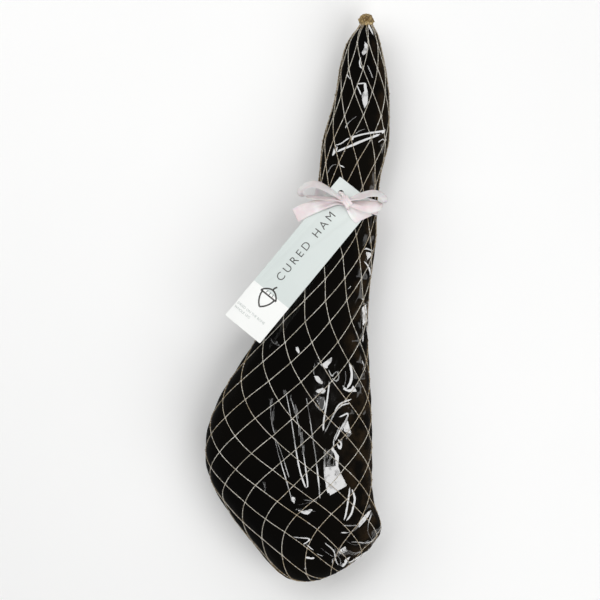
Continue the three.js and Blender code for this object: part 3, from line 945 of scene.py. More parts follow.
# Creases that run from them: a line, and half its width at its two ends in millimetres.
CREASES = [
    ([(0.382, 0.331), (0.44, 0.279), (0.485, 0.234), (0.525, 0.199), (0.566, 0.174)], (0.45, 1.15)),
    (
        [(0.412, 0.322), (0.464, 0.286), (0.498, 0.258), (0.525, 0.231), (0.572, 0.181), (0.566, 0.174)],
        (0.35, 0.95),
    ),
    ([(0.493, 0.325), (0.557, 0.262), (0.605, 0.212), (0.649, 0.159)], (0.55, 1.1)),
    ([(0.365, 0.25), (0.402, 0.221), (0.45, 0.189), (0.511, 0.147)], (0.45, 0.95)),
    ([(0.372, 0.248), (0.419, 0.222), (0.473, 0.187)], (0.5, 0.6)),
    ([(0.599, 0.357), (0.6, 0.328), (0.602, 0.287), (0.608, 0.273)], (0.8, 1.5)),
    ([(0.684, 0.394), (0.702, 0.38), (0.706, 0.363), (0.691, 0.348)], (1.9, 1.9)),
    ([(0.615, 0.271), (0.642, 0.298), (0.666, 0.321), (0.728, 0.333)], (0.9, 0.9)),
    ([(0.627, 0.283), (0.651, 0.307), (0.684, 0.321), (0.727, 0.326)], (0.8, 0.8)),
    ([(0.675, 0.259), (0.694, 0.281), (0.722, 0.308), (0.677, 0.3)], (1.0, 1.0)),
    ([(0.697, 0.275), (0.722, 0.3)], (0.8, 0.8)),
    ([(0.689, 0.263), (0.71, 0.257), (0.706, 0.246), (0.69, 0.257)], (0.9, 0.9)),
    ([(0.792, 0.185), (0.795, 0.163), (0.793, 0.146), (0.791, 0.128)], (1.2, 1.2)),
    ([(0.805, 0.183), (0.827, 0.165), (0.823, 0.144), (0.802, 0.127)], (1.2, 1.2)),
    ([(0.784, 0.107), (0.84, 0.11), (0.874, 0.124), (0.915, 0.146)], (0.9, 0.9)),
    ([(0.791, 0.119), (0.861, 0.122)], (0.8, 0.8)),
    ([(0.998, 0.124), (0.961, 0.112), (0.937, 0.096), (0.845, 0.093)], (1.0, 1.0)),
    ([(1.011, 0.105), (0.963, 0.09), (0.93, 0.074), (0.848, 0.051)], (1.0, 1.0)),
    ([(0.997, 0.098), (0.955, 0.087), (0.922, 0.072)], (1.1, 1.1)),
    ([(0.543, 0.087), (0.631, 0.089), (0.601, 0.076)], (0.9, 0.9)),
    ([(0.618, 0.078), (0.663, 0.069)], (0.8, 0.8)),
    ([(0.709, 0.086), (0.764, 0.074), (0.783, 0.058), (0.805, 0.047)], (0.9, 0.9)),
    ([(0.311, 0.313), (0.333, 0.279), (0.359, 0.257)], (0.35, 0.7)),
    ([(0.63, 0.242), (0.64, 0.216), (0.66, 0.191)], (0.8, 0.8)),
    ([(0.629, 0.376), (0.643, 0.368), (0.634, 0.359), (0.609, 0.364)], (0.7, 0.7)),
    ([(0.543, 0.316), (0.584, 0.307), (0.591, 0.319), (0.577, 0.328), (0.547, 0.325)], (0.9, 0.9)),
    ([(0.566, 0.154), (0.625, 0.154)], (0.6, 0.6)),
    ([(0.809, 0.075), (0.89, 0.074), (0.919, 0.079)], (0.7, 0.7)),
    ([(0.26, 0.412), (0.286, 0.405), (0.317, 0.403)], (0.35, 0.45)),
    ([(0.34, 0.174), (0.359, 0.164), (0.359, 0.155)], (0.4, 0.5)),
    ([(0.755, 0.453), (0.774, 0.428)], (1.0, 1.0)),
    ([(0.504, 0.776), (0.578, 0.787), (0.648, 0.796), (0.669, 0.802)], (1.3, 1.3)),
    ([(0.445, 0.748), (0.498, 0.759), (0.559, 0.772), (0.619, 0.785), (0.647, 0.792)], (1.5, 1.5)),
    ([(0.433, 0.76), (0.462, 0.763), (0.494, 0.774), (0.504, 0.776)], (1.0, 1.0)),
    ([(0.495, 0.979), (0.505, 0.966), (0.518, 0.958), (0.534, 0.95)], (1.1, 1.1)),
    ([(0.492, 0.87), (0.538, 0.874)], (0.9, 0.9)),
    ([(0.492, 0.87), (0.508, 0.861), (0.527, 0.851)], (0.8, 0.8)),
    ([(0.49, 0.918), (0.49, 0.908), (0.496, 0.901), (0.507, 0.898), (0.514, 0.903)], (0.9, 0.9)),
    ([(0.521, 0.814), (0.503, 0.809), (0.478, 0.798), (0.472, 0.79)], (0.7, 0.7)),
    ([(0.571, 0.795), (0.549, 0.791), (0.526, 0.784)], (0.7, 0.7)),
    ([(0.643, 0.776), (0.661, 0.784), (0.672, 0.782), (0.683, 0.786)], (0.7, 0.7)),
    ([(0.457, 0.727), (0.482, 0.726), (0.503, 0.723)], (1.1, 1.1)),
    ([(0.457, 0.727), (0.436, 0.724), (0.412, 0.707)], (0.7, 0.7)),
    ([(0.433, 0.888), (0.45, 0.88), (0.47, 0.874)], (0.6, 0.6)),
    ([(0.528, 0.906), (0.548, 0.894), (0.566, 0.884)], (0.6, 0.6)),
    ([(0.476, 0.969), (0.479, 0.973), (0.484, 0.975)], (0.8, 0.8)),
    ([(0.667, 0.589), (0.677, 0.592), (0.7, 0.591), (0.727, 0.59)], (0.9, 0.9)),
    ([(0.676, 0.57), (0.695, 0.565), (0.708, 0.56), (0.726, 0.546)], (0.9, 0.9)),
    ([(0.75, 0.465), (0.752, 0.452), (0.762, 0.438)], (1.0, 1.0)),
    ([(0.725, 0.46), (0.733, 0.448), (0.74, 0.431)], (0.9, 0.9)),
    ([(0.715, 0.501), (0.696, 0.507)], (0.6, 0.6)),
    ([(0.616, 0.516), (0.632, 0.524)], (0.5, 0.5)),
    ([(0.986, 0.125), (0.951, 0.113), (0.94, 0.1), (0.967, 0.104), (0.988, 0.115)], (0.6, 0.5)),
    ([(0.817, 0.094), (0.865, 0.088), (0.901, 0.092), (0.931, 0.1)], (0.4, 0.7)),
    ([(0.837, 0.072), (0.876, 0.071), (0.91, 0.075)], (0.8, 0.4)),
    ([(0.814, 0.079), (0.853, 0.076), (0.893, 0.072)], (0.7, 0.5)),
    ([(0.691, 0.077), (0.732, 0.069), (0.77, 0.062)], (0.3, 0.5)),
    ([(0.679, 0.064), (0.718, 0.061)], (0.4, 0.5)),
    ([(0.922, 0.091), (0.943, 0.095), (0.974, 0.104), (1.005, 0.115)], (0.5, 0.8)),
    ([(1.007, 0.102), (0.976, 0.092), (0.941, 0.084), (0.931, 0.073)], (0.9, 0.5)),
    ([(0.925, 0.143), (0.916, 0.129), (0.915, 0.114), (0.941, 0.101)], (0.6, 0.5)),
    ([(0.748, 0.401), (0.764, 0.391), (0.782, 0.381)], (0.9, 0.6)),
    ([(0.77, 0.398), (0.761, 0.383)], (0.6, 0.5)),
    ([(0.584, 0.377), (0.607, 0.366), (0.616, 0.372), (0.636, 0.377), (0.642, 0.362)], (0.5, 0.5)),
    ([(0.509, 0.383), (0.507, 0.373), (0.515, 0.364)], (0.5, 0.6)),
    ([(0.765, 0.071), (0.808, 0.059), (0.809, 0.047)], (0.5, 0.7)),
    ([(0.87, 0.052), (0.911, 0.067), (0.95, 0.08)], (0.4, 0.5)),
    ([(0.777, 0.049), (0.767, 0.054), (0.773, 0.06)], (0.6, 0.7)),
    ([(0.689, 0.286), (0.669, 0.262), (0.677, 0.248)], (0.5, 0.8)),
    ([(0.633, 0.245), (0.638, 0.225), (0.647, 0.212)], (0.8, 0.9)),
    ([(0.306, 0.313), (0.337, 0.279), (0.362, 0.256)], (0.2, 0.5)),
    ([(0.633, 0.137), (0.588, 0.137), (0.535, 0.137)], (0.3, 0.5)),
    ([(0.531, 0.143), (0.591, 0.15), (0.637, 0.157)], (0.3, 0.45)),
    ([(0.548, 0.324), (0.571, 0.315), (0.592, 0.312)], (0.9, 0.7)),
    ([(0.673, 0.379), (0.68, 0.362), (0.675, 0.348)], (0.3, 0.5)),
]

# Crumpled places: centre in shares of the footprint, half width and half length in
# millimetres, and how strongly the film is crumpled there.
CRUMPLES = [
    ((0.701, 0.199), 16, 26, 1.0),
    ((0.535, 0.348), 14, 24, 1.0),
    ((0.570, 0.388), 14, 10, 0.9),
    ((0.728, 0.288), 12, 18, 0.9),
    ((0.713, 0.351), 12, 10, 0.8),
    ((0.575, 0.136), 14, 8, 0.9),
    ((0.411, 0.401), 5, 6, 0.9),
    ((0.844, 0.058), 26, 22, 1.0),
    ((0.900, 0.110), 26, 26, 1.0),
    ((0.575, 0.062), 22, 14, 0.7),
    ((0.540, 0.851), 8, 20, 1.0),
    ((0.508, 0.928), 8, 16, 1.0),
    ((0.465, 0.725), 12, 8, 1.0),
    ((0.695, 0.581), 8, 7, 1.0),
    ((0.725, 0.470), 7, 22, 0.8),
    ((0.657, 0.289), 30, 75, 0.35),
]

footprint_low = np.array(cad_box[0][:2])
footprint_size = np.array(cad_box[1][:2]) - footprint_low


def across_floor(line):
    """Points given in shares of the footprint, in metres, smoothly joined up."""
    return curve_through([(*(footprint_low + np.array(p) * footprint_size), 0) for p in line], 4 * MM)[:, :2]


def from_crease(plan, line):
    """The points within 9 mm of a line: which they are, how far to its left and along it, and its length."""
    corners = across_floor(line)
    reach = 9 * MM
    near = np.flatnonzero(((plan > corners.min(0) - reach) & (plan < corners.max(0) + reach)).all(1))
    spots = plan[near]
    left = np.full(len(near), 1.0)
    done = np.zeros(len(near))
    walked = 0.0
    for i, (a, b) in enumerate(zip(corners[:-1], corners[1:])):
        length = np.linalg.norm(b - a)
        way = (b - a) / length
        along = (spots - a) @ way
        kept = np.clip(along, 0, length)
        gap = spots - a - kept[:, None] * way
        far = np.linalg.norm(gap, axis=1)
        nearer = far < np.abs(left)
        side = np.where(way[0] * gap[:, 1] - way[1] * gap[:, 0] < 0, -1.0, 1.0)
        left[nearer] = (side * far)[nearer]
        first, last = i == 0, i == len(corners) - 2
        place = walked + np.clip(along, -1 if first else 0, length + (1 if last else 0))
        done[nearer] = place[nearer]
        walked += length
    return near, left, done, walked


def inside_pane(plan, outline):
    """How far inside an outline each point is, in metres; less than 0 outside."""
    corners = footprint_low + np.array(outline) * footprint_size
    far = np.full(len(plan), 1.0)
    inside = np.zeros(len(plan), bool)
    for a, b in zip(corners, np.roll(corners, -1, 0)):
        way = b - a
        share = np.clip(((plan - a) @ way) / way.dot(way), 0, 1)
        far = np.minimum(far, np.linalg.norm(plan - a - share[:, None] * way, axis=1))
        crosses = (a[1] > plan[:, 1]) != (b[1] > plan[:, 1])
        at = a[0] + (plan[:, 1] - a[1]) * way[0] / (way[1] if way[1] else 1e-9)
        inside ^= crosses & (plan[:, 0] < at)
    return np.where(inside, far, -far)


def facets(points, scale, seed):
    """A crumpled height from -1 to 1: flat facets, each tilted its own way, creased between."""
    heights = np.zeros(len(points))
    shift = Vector((seed, 2 * seed, 3 * seed))
    for i, point in enumerate(points):
        place = Vector(point) * scale + shift
        gaps, cells = noise.voronoi(place)
        tilt = noise.noise_vector(cells[0] * 7.31 + shift) * 2.2
        flat = min(1.0, (gaps[1] - gaps[0]) / 0.30)
        heights[i] = tilt.dot(place - cells[0]) * flat
    return heights


SLACK_RIGHT, SLACK_LEFT = 4.2 * MM, 2.0 * MM  # how loose it hangs on each side of the shank
FACET_SIZE = 19 * MM
FACET_HEIGHT = 1.3 * MM
CREST_HEIGHT, CREST_REACH = 1.1 * MM, 2.8 * MM
PANE_HEIGHT = 0.5 * MM
RISE_LOW, RISE_HIGH = -0.5 * MM, 3.2 * MM
NO_MARK = -5.0  # well outside every crease and pane, in millimetres


def slack(down_leg, rightward):
    """How far the film hangs loose of the shank, by the way down the leg and round it."""
    right = SLACK_RIGHT * np.sqrt(np.clip(rightward, 0, 1))
    left = SLACK_LEFT * np.sqrt(np.clip(-rightward, 0, 1))
    window = eased(down_leg / (25 * MM)) * (1 - eased((down_leg - 165 * MM) / (55 * MM)))
    return (right + left) * window


def crumpled(flat, plan, upper):
    """How strongly the film is crumpled at each point, also in broad places out of sight."""
    crumple = np.zeros(len(flat))
    for place, half_width, half_length, strength in CRUMPLES:
        away = plan - footprint_low - np.array(place) * footprint_size
        away /= MM * np.array([half_width, half_length])
        reach = np.sqrt((away**2).sum(1))
        crumple = np.maximum(crumple, strength * (1 - eased((reach - 0.55) / 0.75)) * upper)
    broad = np.array([noise.noise(Vector(p) * 11.0) for p in flat])
    return np.maximum(crumple, (1 - upper) * eased((broad + 0.05) / 0.4) * 0.7)


def raise_creases(flat, plan, upper, rise):
    """Raises the film along each crease, and gives the marks of each set: how far to the left of
    its crease a point is, half the width that shows there, and how faint it is."""
    creases = np.full((CREASE_SETS, len(flat), 3), (9.0, NO_MARK, 0.0))
    fading = np.array([noise.noise(Vector(p) * 38.0) for p in flat])
    taken = [[] for _ in range(CREASE_SETS)]
    for line, (begun, ended) in CREASES:
        near, left, done, length = from_crease(plan, line)
        room = np.minimum(done, length - done)
        share = np.clip(done / length, 0, 1)
        half_width = (begun + (ended - begun) * share) * (1 + 0.45 * fading[near])
        spots = across_floor(line)
        clear = []
        for group in taken:
            clear.append(min((np.linalg.norm(spots - q, axis=1).min() for q in group), default=1.0))
        chosen = int(np.argmax(clear))
        taken[chosen].extend(spots)
        shown = np.minimum(half_width, room / MM * 0.3) - 2 * np.maximum(np.abs(left) / MM - 2.4, 0)
        shown = np.where(upper[near] > 0.3, shown, NO_MARK)
        nearer = (np.abs(left) / MM < np.abs(creases[chosen, near, 0])) & (shown > NO_MARK)
        faint = np.clip(1.1 - half_width - 0.6 * fading[near], 0, 1)
        for k, values in enumerate((left / MM, shown, faint)):
            creases[chosen, near[nearer], k] = values[nearer]
        ends = eased(room / (8 * MM) + 0.1)
        crest = CREST_HEIGHT * half_width * np.exp(-((left / CREST_REACH) ** 2)) * ends
        rise[near] += crest * upper[near]
    return {f"crease_{i + 1}": marks for i, marks in enumerate(creases)}


def inside_any(plan, outlines):
    """How far inside the deepest of some outlines each point is, in millimetres."""
    inside = np.full(len(plan), NO_MARK)
    for outline in outlines:
        inside = np.maximum(inside, inside_pane(plan, outline) / MM)
    return inside


def halfway_to_key(spots):
    """The way halfway between the key light and the camera, from each spot."""
    ways = [np.array(p) - spots for p in (KEY_WAY * KEY_DISTANCE, bpy.context.scene.camera.location)]
    halfway = sum(way / np.linalg.norm(way, axis=1, keepdims=True) for way in ways)
    return halfway / np.linalg.norm(halfway, axis=1, keepdims=True)


def off_strands(flat):
    """How far each point is from the nearest strand."""
    strand_points = np.concatenate([sampled(base, t, angle) for _, t, angle in all_strands])
    tree = kdtree.KDTree(len(strand_points))
    for i, point in enumerate(strand_points):
        tree.insert(point, i)
    tree.balance()
    return np.array([tree.find(point)[2] for point in flat])


def film_shape():
    """The film's points, puffed up between the strands, folded and crumpled, and its marks."""
    flat = base.reshape(-1, 3)
    out = facing.reshape(-1, 3)
    plan = flat[:, :2]
    gap = off_strands(flat)
    free = eased(gap / (6 * MM))
    upper = eased((out[:, 2] - 0.05) / 0.3)
    rightward = out @ np.array(CROSSWISE)
    crumple = crumpled(flat, plan, upper)
    rise = PUFF * (1 - np.exp(-((gap / PUFF_REACH) ** 2)))
    heights = FACET_HEIGHT * facets(flat, 1 / FACET_SIZE, 3.7)
    rise = rise + heights * (0.06 + 0.6 * crumple) * (0.35 + 0.65 * free)
    creases = raise_creases(flat, plan, upper, rise)
    pane = np.where(upper > 0.3, inside_any(plan, PANES), NO_MARK)
    rise += PANE_HEIGHT * np.clip(pane / 2 + 0.5, 0, 1)
    down_leg = np.repeat(np.linspace(0, SKIN_LENGTH, ROWS + 1), TURNS)
    from_hip = np.linalg.norm(plan - footprint_low - np.array(HIP) * footprint_size, axis=1)
    rise = np.clip(rise, RISE_LOW, RISE_HIGH) + slack(down_leg, rightward)
    rise += HIP_SLACK * np.exp(-((from_hip / HIP_REACH) ** 2)) * upper
    rise = np.minimum(rise, 0.4 * MM + 8 * MM * (1 - under_ribbon(flat)))
    room = room_under_card(flat, out)
    rise = np.minimum(rise, np.maximum(room - FILM_OFF - 2.2 * YARN_RADIUS, -0.6 * MM))
    lift = TIP_LIFT * (1 - eased(down_leg / TIP_REACH))
    flat = flat + lift[:, None] * np.array(tip_way)
    grid = (flat + out * (FILM_OFF + rise)[:, None]).reshape(base.shape)
    grid[..., 2] = np.maximum(grid[..., 2], NET_OFF - FILM_OFF)
    return grid, {
        "crumple": crumple,
        "pane": pane,
        "smear": inside_any(plan, SMEARS),
        # painted light: how far the film faces right and up, where its colour is tinted warm and brownish
        "brown": eased((rightward - 0.3) / 0.4) * eased((out[:, 2] + 0.2) / 0.3),
        "to_light": halfway_to_key(grid.reshape(-1, 3)),
        **creases,
    }


film_grid, film_marks = film_shape()


def add_film():
    """The sleeve of gloss film, closed over both ends under the ties."""
    index = 1 + np.arange((ROWS - 1) * TURNS).reshape(ROWS - 1, TURNS)
    around = np.roll(index, -1, 1)
    foot = 1 + index.size
    faces = np.stack([index[:-1], index[1:], around[1:], around[:-1]], -1).reshape(-1, 4).tolist()
    faces += [(0, index[0, k], around[0, k]) for k in range(TURNS)]
    faces += [(foot, around[-1, k], index[-1, k]) for k in range(TURNS)]
    points = np.concatenate([film_grid[0, :1], film_grid[1:-1].reshape(-1, 3), film_grid[-1, :1]])
    film = add_mesh("film_wrap", points, faces, film_material())
    inner = slice(TURNS - 1, ROWS * TURNS + 1)
    for name, values in film_marks.items():
        paint(film, name, values[inner])
    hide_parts("film_sleeve")


add_film()

# ---------------------------------------------------------------- the net of string

CREAM = ((0.46, 0.41, 0.31), (0.93, 0.88, 0.76), (0.42, 0.29, 0.13))
GOLD = ((0.13, 0.075, 0.022), (0.72, 0.55, 0.27), (0.30, 0.18, 0.05))
string = yarn_material("cream_string", *CREAM, 45.0)
tuft_string = yarn_material("golden_string", *GOLD, 260.0)
NECK_RADIUS = 3.9 * MM
string_ground = smoothed(film_grid, 3)


def resting(t, angle, lift):
    """Where a strand lies on the film."""
    points = sampled(string_ground, t, angle)
    normals = sampled(facing, t, angle)
    points = points + normals * lift
    points[:, 2] = np.maximum(points[:, 2], YARN_RADIUS)
    return points, normals


def neck_path(point, way, angle, heights, radii):
    """From the skin up the gathered neck: points round its axis at the strand's own angle."""
    axis = Vector(way)
    side = (CROSSWISE - axis * axis.dot(CROSSWISE)).normalized()
    up = side.cross(axis) if side.cross(axis).z > 0 else axis.cross(side)
    out = side * math.cos(angle) + up * math.sin(angle)
    return [tuple(Vector(point) + axis * h + out * r) for h, r in zip(heights, radii)]


# the yarn's colour turns this into painted shade, warmer and darker
def on_flank(normals):
    """How far round the side of the ham places are, by the way they face."""
    return 1 - eased((normals[:, 2] - 0.12) / 0.5)


def add_net():
    nets = {1: Yarn(YARN_RADIUS, YARN_PITCH), -1: Yarn(YARN_RADIUS, YARN_PITCH)}
    for k, (hand, t, angle) in enumerate(all_strands):
        path, normals = resting(t, angle, 0.75 * YARN_RADIUS)
        heights = np.array([7.5, 4.5, 2.2]) * MM + FILM_OFF
        radii = np.array([0.9, 1.0, 1.35]) * NECK_RADIUS
        top = neck_path(tip_point, tip_way, angle[0], heights + 7.5 * MM, radii + 2.2 * MM)
        foot = neck_path(butt_point, butt_way, angle[-1], heights[::-1], radii[::-1])
        top = curve_through([*top, path[6]], YARN_STEP)[:-1]
        foot = curve_through([path[-4], *foot], YARN_STEP)[1:]
        # painted shade: strands round the side of the ham, and all of the gathered neck, are coloured warmer
        # and darker
        side = on_flank(normals[6:-3])
        flank = np.concatenate([np.ones(len(top)), side, np.zeros(len(foot))])
        nets[hand].lay(np.concatenate([top, path[6:-3], foot]), flank, 0.37 * k)
    right = nets[1].made("net_strands_right", string)
    left = nets[-1].made("net_strands_left", string)
    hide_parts("string_net")


KNOT_TURNS = 1.75
KNOT_REACH = 1.05 * MM
KNOT_LENGTH = 2.3 * MM


def add_knots():
    """A small knot at each crossing: the string turned round where the strands meet."""
    knots = Yarn(YARN_RADIUS, YARN_PITCH, sides=6)
    for row in range(1, len(rows)):
        for column in range(row % 2, 2 * DIAMONDS, 2):
            t, angle = knot_place(row, column)
            (point,), (normal,) = resting(np.array([t]), np.array([angle]), 0.8 * YARN_RADIUS)
            normal = Vector(normal)
            along = (Vector(sampled(base, [min(t + 0.01, 1)], [angle])[0]) - Vector(point)).normalized()
            side = normal.cross(along).normalized()
            wander = 0.6 * noise.noise(Vector((row, column, 0.5)))
            turns = []
            for i in range(15):
                s = i / 14
                swing = 2 * math.pi * (KNOT_TURNS * s + wander)
                out = side * math.cos(swing) * KNOT_REACH + normal * math.sin(swing) * 0.8 * KNOT_REACH
                turns.append(Vector(point) + out + along * (s - 0.5) * KNOT_LENGTH)
            # painted shade: knots round the side of the ham are coloured warmer and darker
            knots.lay([list(p) for p in turns], float(on_flank(np.array([normal]))[0]))
    piece = knots.made("net_knots", string)


def square_to(axis):
    """Two ways square to a neck's axis: across the leg, and square to that."""
    side = (CROSSWISE - axis * axis.dot(CROSSWISE)).normalized()
    return side, side.cross(axis).normalized()


TIE_GAP = 1.7 * MM  # from one turn of a tie to the next
END_STEP = 0.9 * MM


def add_tie(name, node, point, way, turns, radius, tails, material):
    """String wound tightly round a gathered neck, with a hitch and a short end for each hand in tails."""
    tie = Yarn(1.0 * MM, 6 * MM, sides=8)
    axis = Vector(way)
    side, up = square_to(axis)
    middle = (box_middle(node) - Vector(point)).dot(axis)
    height = (turns - 1) * TIE_GAP
    coil = []
    for i in range(turns * 24 + 1):
        s = i / (turns * 24)
        swing = 2 * math.pi * turns * s
        out = side * math.cos(swing) + up * math.sin(swing)
        coil.append(Vector(point) + axis * (middle + height * (s - 0.5)) + out * radius)
    tie.lay([list(p) for p in coil])
    start = Vector(point) + axis * middle + up * (radius + 0.9 * MM)
    for hand in tails:
        tail = [start - side * hand * 1.5 * MM, start + side * hand * 2.5 * MM + up * 1.2 * MM]
        tail.append(start + side * hand * 7 * MM - axis * 3 * MM - up * 0.5 * MM)
        tail.append(start + side * hand * 10 * MM - axis * 7 * MM - up * 2.5 * MM)
        tie.lay(curve_through([list(p) for p in tail], END_STEP))
    loop = []
    for a in np.linspace(0, 6.1, 16):
        loop.append(list(start + side * math.cos(a) * 2 * MM + axis * math.sin(a) * 2 * MM))
    tie.lay(loop)
    piece = tie.made(name, material)
    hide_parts(node)


def add_tuft(name, point, way, middle, half, radius, low, count, material):
    """The cut ends of the gathered net, turned out over the tie into a rounded knob."""
    tuft = Yarn(1.0 * MM, 4.5 * MM, sides=7)
    axis = Vector(way)
    side, up = square_to(axis)
    golden = math.pi * (3 - math.sqrt(5))
    for k in range(count):
        level = 1 - (1 - low) * (k + 0.5) / count
        wander = noise.noise_vector(Vector((k * 1.31, 4.2, 0.4)))
        turn = golden * k + 0.25 * wander.z
        out = side * math.cos(turn) + up * math.sin(turn)
        lump = 1 + 0.5 * noise.noise((out * 1.1 + axis * 1.4 * level) * 1.2 + Vector((7.1, 0.2, 3.3)))
        reach = lump * math.sqrt(max(1 - level * level, 0)) * (1 + 0.10 * wander.y)
        height = middle + half * level * (1 + 0.12 * wander.x)
        inner = axis * (middle - 0.35 * half) + out * (0.25 * radius * reach)
        bend = axis * (middle + (height - middle) * 0.55 + 0.15 * half) + out * (0.66 * radius * reach)
        end = axis * height + out * (radius * reach)
        path = [list(Vector(point) + p) for p in (inner, bend, end)]
        tuft.lay(curve_through(path, END_STEP), 0.5 + 0.5 * wander.x, 0.21 * k)
    piece = tuft.made(name, material)


add_net()
add_knots()
add_tie("top_binding", "top_tie", tip_point, tip_way, 3, 8.6 * MM, (), tuft_string)
add_tie("butt_binding", "butt_tie", butt_point, butt_way, 2, NECK_RADIUS + 1.7 * MM, (-1, 1), string)
add_tuft("top_tuft", tip_point, tip_way, 13.6 * MM, 9.0 * MM, 9.9 * MM, -0.8, 260, tuft_string)
add_tuft("butt_tuft", butt_point, butt_way, 10.0 * MM, 4.6 * MM, 5.6 * MM, -0.6, 80, tuft_string)

# ---------------------------------------------------------------- the card


def edit(obj, selected=None):
    """Starts edit mode on one object, with the edges or faces that selected() picks."""
    bpy.ops.object.select_all(action="DESELECT")
    obj.select_set(True)
    bpy.context.view_layer.objects.active = obj
    bpy.ops.object.mode_set(mode="EDIT")
    bpy.ops.mesh.select_mode(type="EDGE")
    bpy.ops.mesh.select_all(action="DESELECT" if selected else "SELECT")
    if selected:
        shape = bmesh.from_edit_mesh(obj.data)
        for edge in shape.edges:
            edge.select_set(selected(edge))
        shape.select_flush_mode()
        bmesh.update_edit_mesh(obj.data)


def done_editing():
    bpy.ops.object.mode_set(mode="OBJECT")
    bpy.ops.object.select_all(action="DESELECT")


def applied(obj, kind, **settings):
    bpy.context.view_layer.objects.active = obj
    modifier = obj.modifiers.new(kind.lower(), kind)
    for name, value in settings.items():
        setattr(modifier, name, value)
    bpy.ops.object.modifier_apply(modifier=modifier.name)


def seated(obj, name, material, place):
    """Puts a finished shape in its place, with the place in its mesh."""
    obj.name = obj.data.name = name
    obj.data.transform(place)
    obj.data.materials.clear()
    obj.data.materials.append(material)
    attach(obj, "root")
    obj.select_set(False)


CARD_CORNER = 1.5 * MM
CARD_EDGE = 0.12 * MM
SHARP = 0.6  # radians


def add_card():
    bpy.ops.mesh.primitive_cube_add(size=1)
    card = bpy.context.object
    edit(card)
    bpy.ops.transform.resize(value=(CARD_WIDTH, CARD_LENGTH, CARD_WALL))
    done_editing()
    edit(card, lambda e: abs(e.verts[0].co.z - e.verts[1].co.z) > CARD_WALL / 2)
    bpy.ops.mesh.bevel(offset=CARD_CORNER, segments=6)
    done_editing()
    for x in (-HOLE_ACROSS, HOLE_ACROSS):
        place = (x, HOLE_ALONG, 0)
        bpy.ops.mesh.primitive_cylinder_add(vertices=48, radius=HOLE_RADIUS, depth=5 * MM, location=place)
        punch = bpy.context.object
        applied(card, "BOOLEAN", operation="DIFFERENCE", solver="EXACT", object=punch)
        bpy.data.objects.remove(punch)
    applied(card, "BEVEL", width=CARD_EDGE, segments=2, limit_method="ANGLE", angle_limit=SHARP)
    bpy.ops.object.select_all(action="DESELECT")
    card.select_set(True)
    bpy.context.view_layer.objects.active = card
    bpy.ops.object.shade_smooth_by_angle(angle=SHARP)
    uvs = card.data.uv_layers[0] if card.data.uv_layers else card.data.uv_layers.new(name="face")
    for loop in card.data.loops:
        x, y, _ = card.data.vertices[loop.vertex_index].co
        uvs.data[loop.index].uv = (x / CARD_WIDTH + 0.5, y / CARD_LENGTH + 0.5)
    seated(card, "coated_card", card_material(), card_place)
    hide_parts("hang_tag")


def add_words(name, body, height, spacing, thinning, place, material):
    """Words printed on the card: capitals of a height, laid out along x of a place."""
    bpy.ops.object.text_add()
    words = bpy.context.object
    words.data.body = body
    words.data.align_x = "CENTER"
    words.data.align_y = "CENTER"
    words.data.space_character = spacing
    words.data.offset = -thinning
    words.data.extrude = 0.002
    words.data.resolution_u = 4
    bpy.ops.object.convert(target="MESH")
    words = bpy.context.object
    tall = max(v.co.y for v in words.data.vertices) - min(v.co.y for v in words.data.vertices)
    words.data.transform(Matrix.Scale(height / tall, 4))
    seated(words, name, material, card_place @ place)


def stroke(points, width, corners, faces):
    """Adds a flat line of a width, with square ends, to a shape."""
    path = curve_through([(*p, 0) for p in points], 0.6 * MM)[:, :2]
    ahead = np.gradient(path, axis=0)
    ahead /= np.linalg.norm(ahead, axis=1, keepdims=True)
    side = np.stack([ahead[:, 1], -ahead[:, 0]], 1) * width / 2
    first = len(corners)
    for a, b in zip(path + side, path - side):
        corners += [(*a, 0), (*b, 0)]
    for i in range(first, len(corners) - 2, 2):
        faces.append((i, i + 2, i + 3, i + 1))


ACORN_LINE, HATCH_LINE = 2.2 * MM, 0.9 * MM


def add_emblem(material):
    """A plain acorn in line: its nut, cap, stem and a few lines of hatching."""
    corners, faces = [], []
    a = np.linspace(0, 1, 15)
    for hand in (-1, 1):
        nut = []
        for s in a[:-1]:
            half = 10.5 * MM * math.cos(0.5 * math.pi * s) ** 0.62
            nut.append((hand * half, (-1 - 17.5 * s**1.15) * MM))
        stroke([*nut, (0, -19.5 * MM)], ACORN_LINE, corners, faces)
    cap = [(-13 + 26 * s, 9.5 * math.sin(math.pi * s) ** 0.75) for s in a]
    stroke([(x * MM, y * MM) for x, y in cap], ACORN_LINE, corners, faces)
    stroke([(x * MM, 0) for x in (-13.5, 0, 13.5)], ACORN_LINE, corners, faces)
    stroke([(0, 9.5 * MM), (0.3 * MM, 13 * MM), (2.2 * MM, 16.5 * MM)], ACORN_LINE, corners, faces)
    for x in (-5.5, 0, 5.5):
        stroke([(x * MM, 1.5 * MM), (0.85 * x * MM, 5.5 * MM)], HATCH_LINE, corners, faces)
    emblem = add_mesh("acorn_print", corners, faces, material, smooth=False)
    emblem.data.transform(card_place @ Matrix.Translation((-2 * MM, -66 * MM, CARD_WALL / 2 + 0.06 * MM)))


def add_print():
    dark = ink_material("dark_ink", (0.055, 0.052, 0.048))
    pale = ink_material("pale_ink", (0.42, 0.46, 0.44))
    face = CARD_WALL / 2 + 0.05 * MM
    up_the_card = Matrix.Translation((-5.2 * MM, 19 * MM, face)) @ Matrix.Rotation(math.pi / 2, 4, "Z")
    add_words("large_words", "CURED HAM", 11 * MM, 1.44, 0.005, up_the_card, dark)
    for name, body, x, y in (
        ("small_words_upper", "DRIED ON THE BONE", -5, -99.5),
        ("small_words_lower", "WHOLE LEG", -15.5, -106),
    ):
        place = Matrix.Translation((x * MM, y * MM, face))
        add_words(name, body, 3.4 * MM, 1.0, 0.0, place, pale)
    add_emblem(dark)


add_card()
add_print()

# ---------------------------------------------------------------- the ribbon

PLEATS = np.linspace(-1, 1, 13)
RIBBON_WALL = 0.3 * MM
WEAVE_REPEAT = 0.68  # metres of ribbon to one repeat of its weave


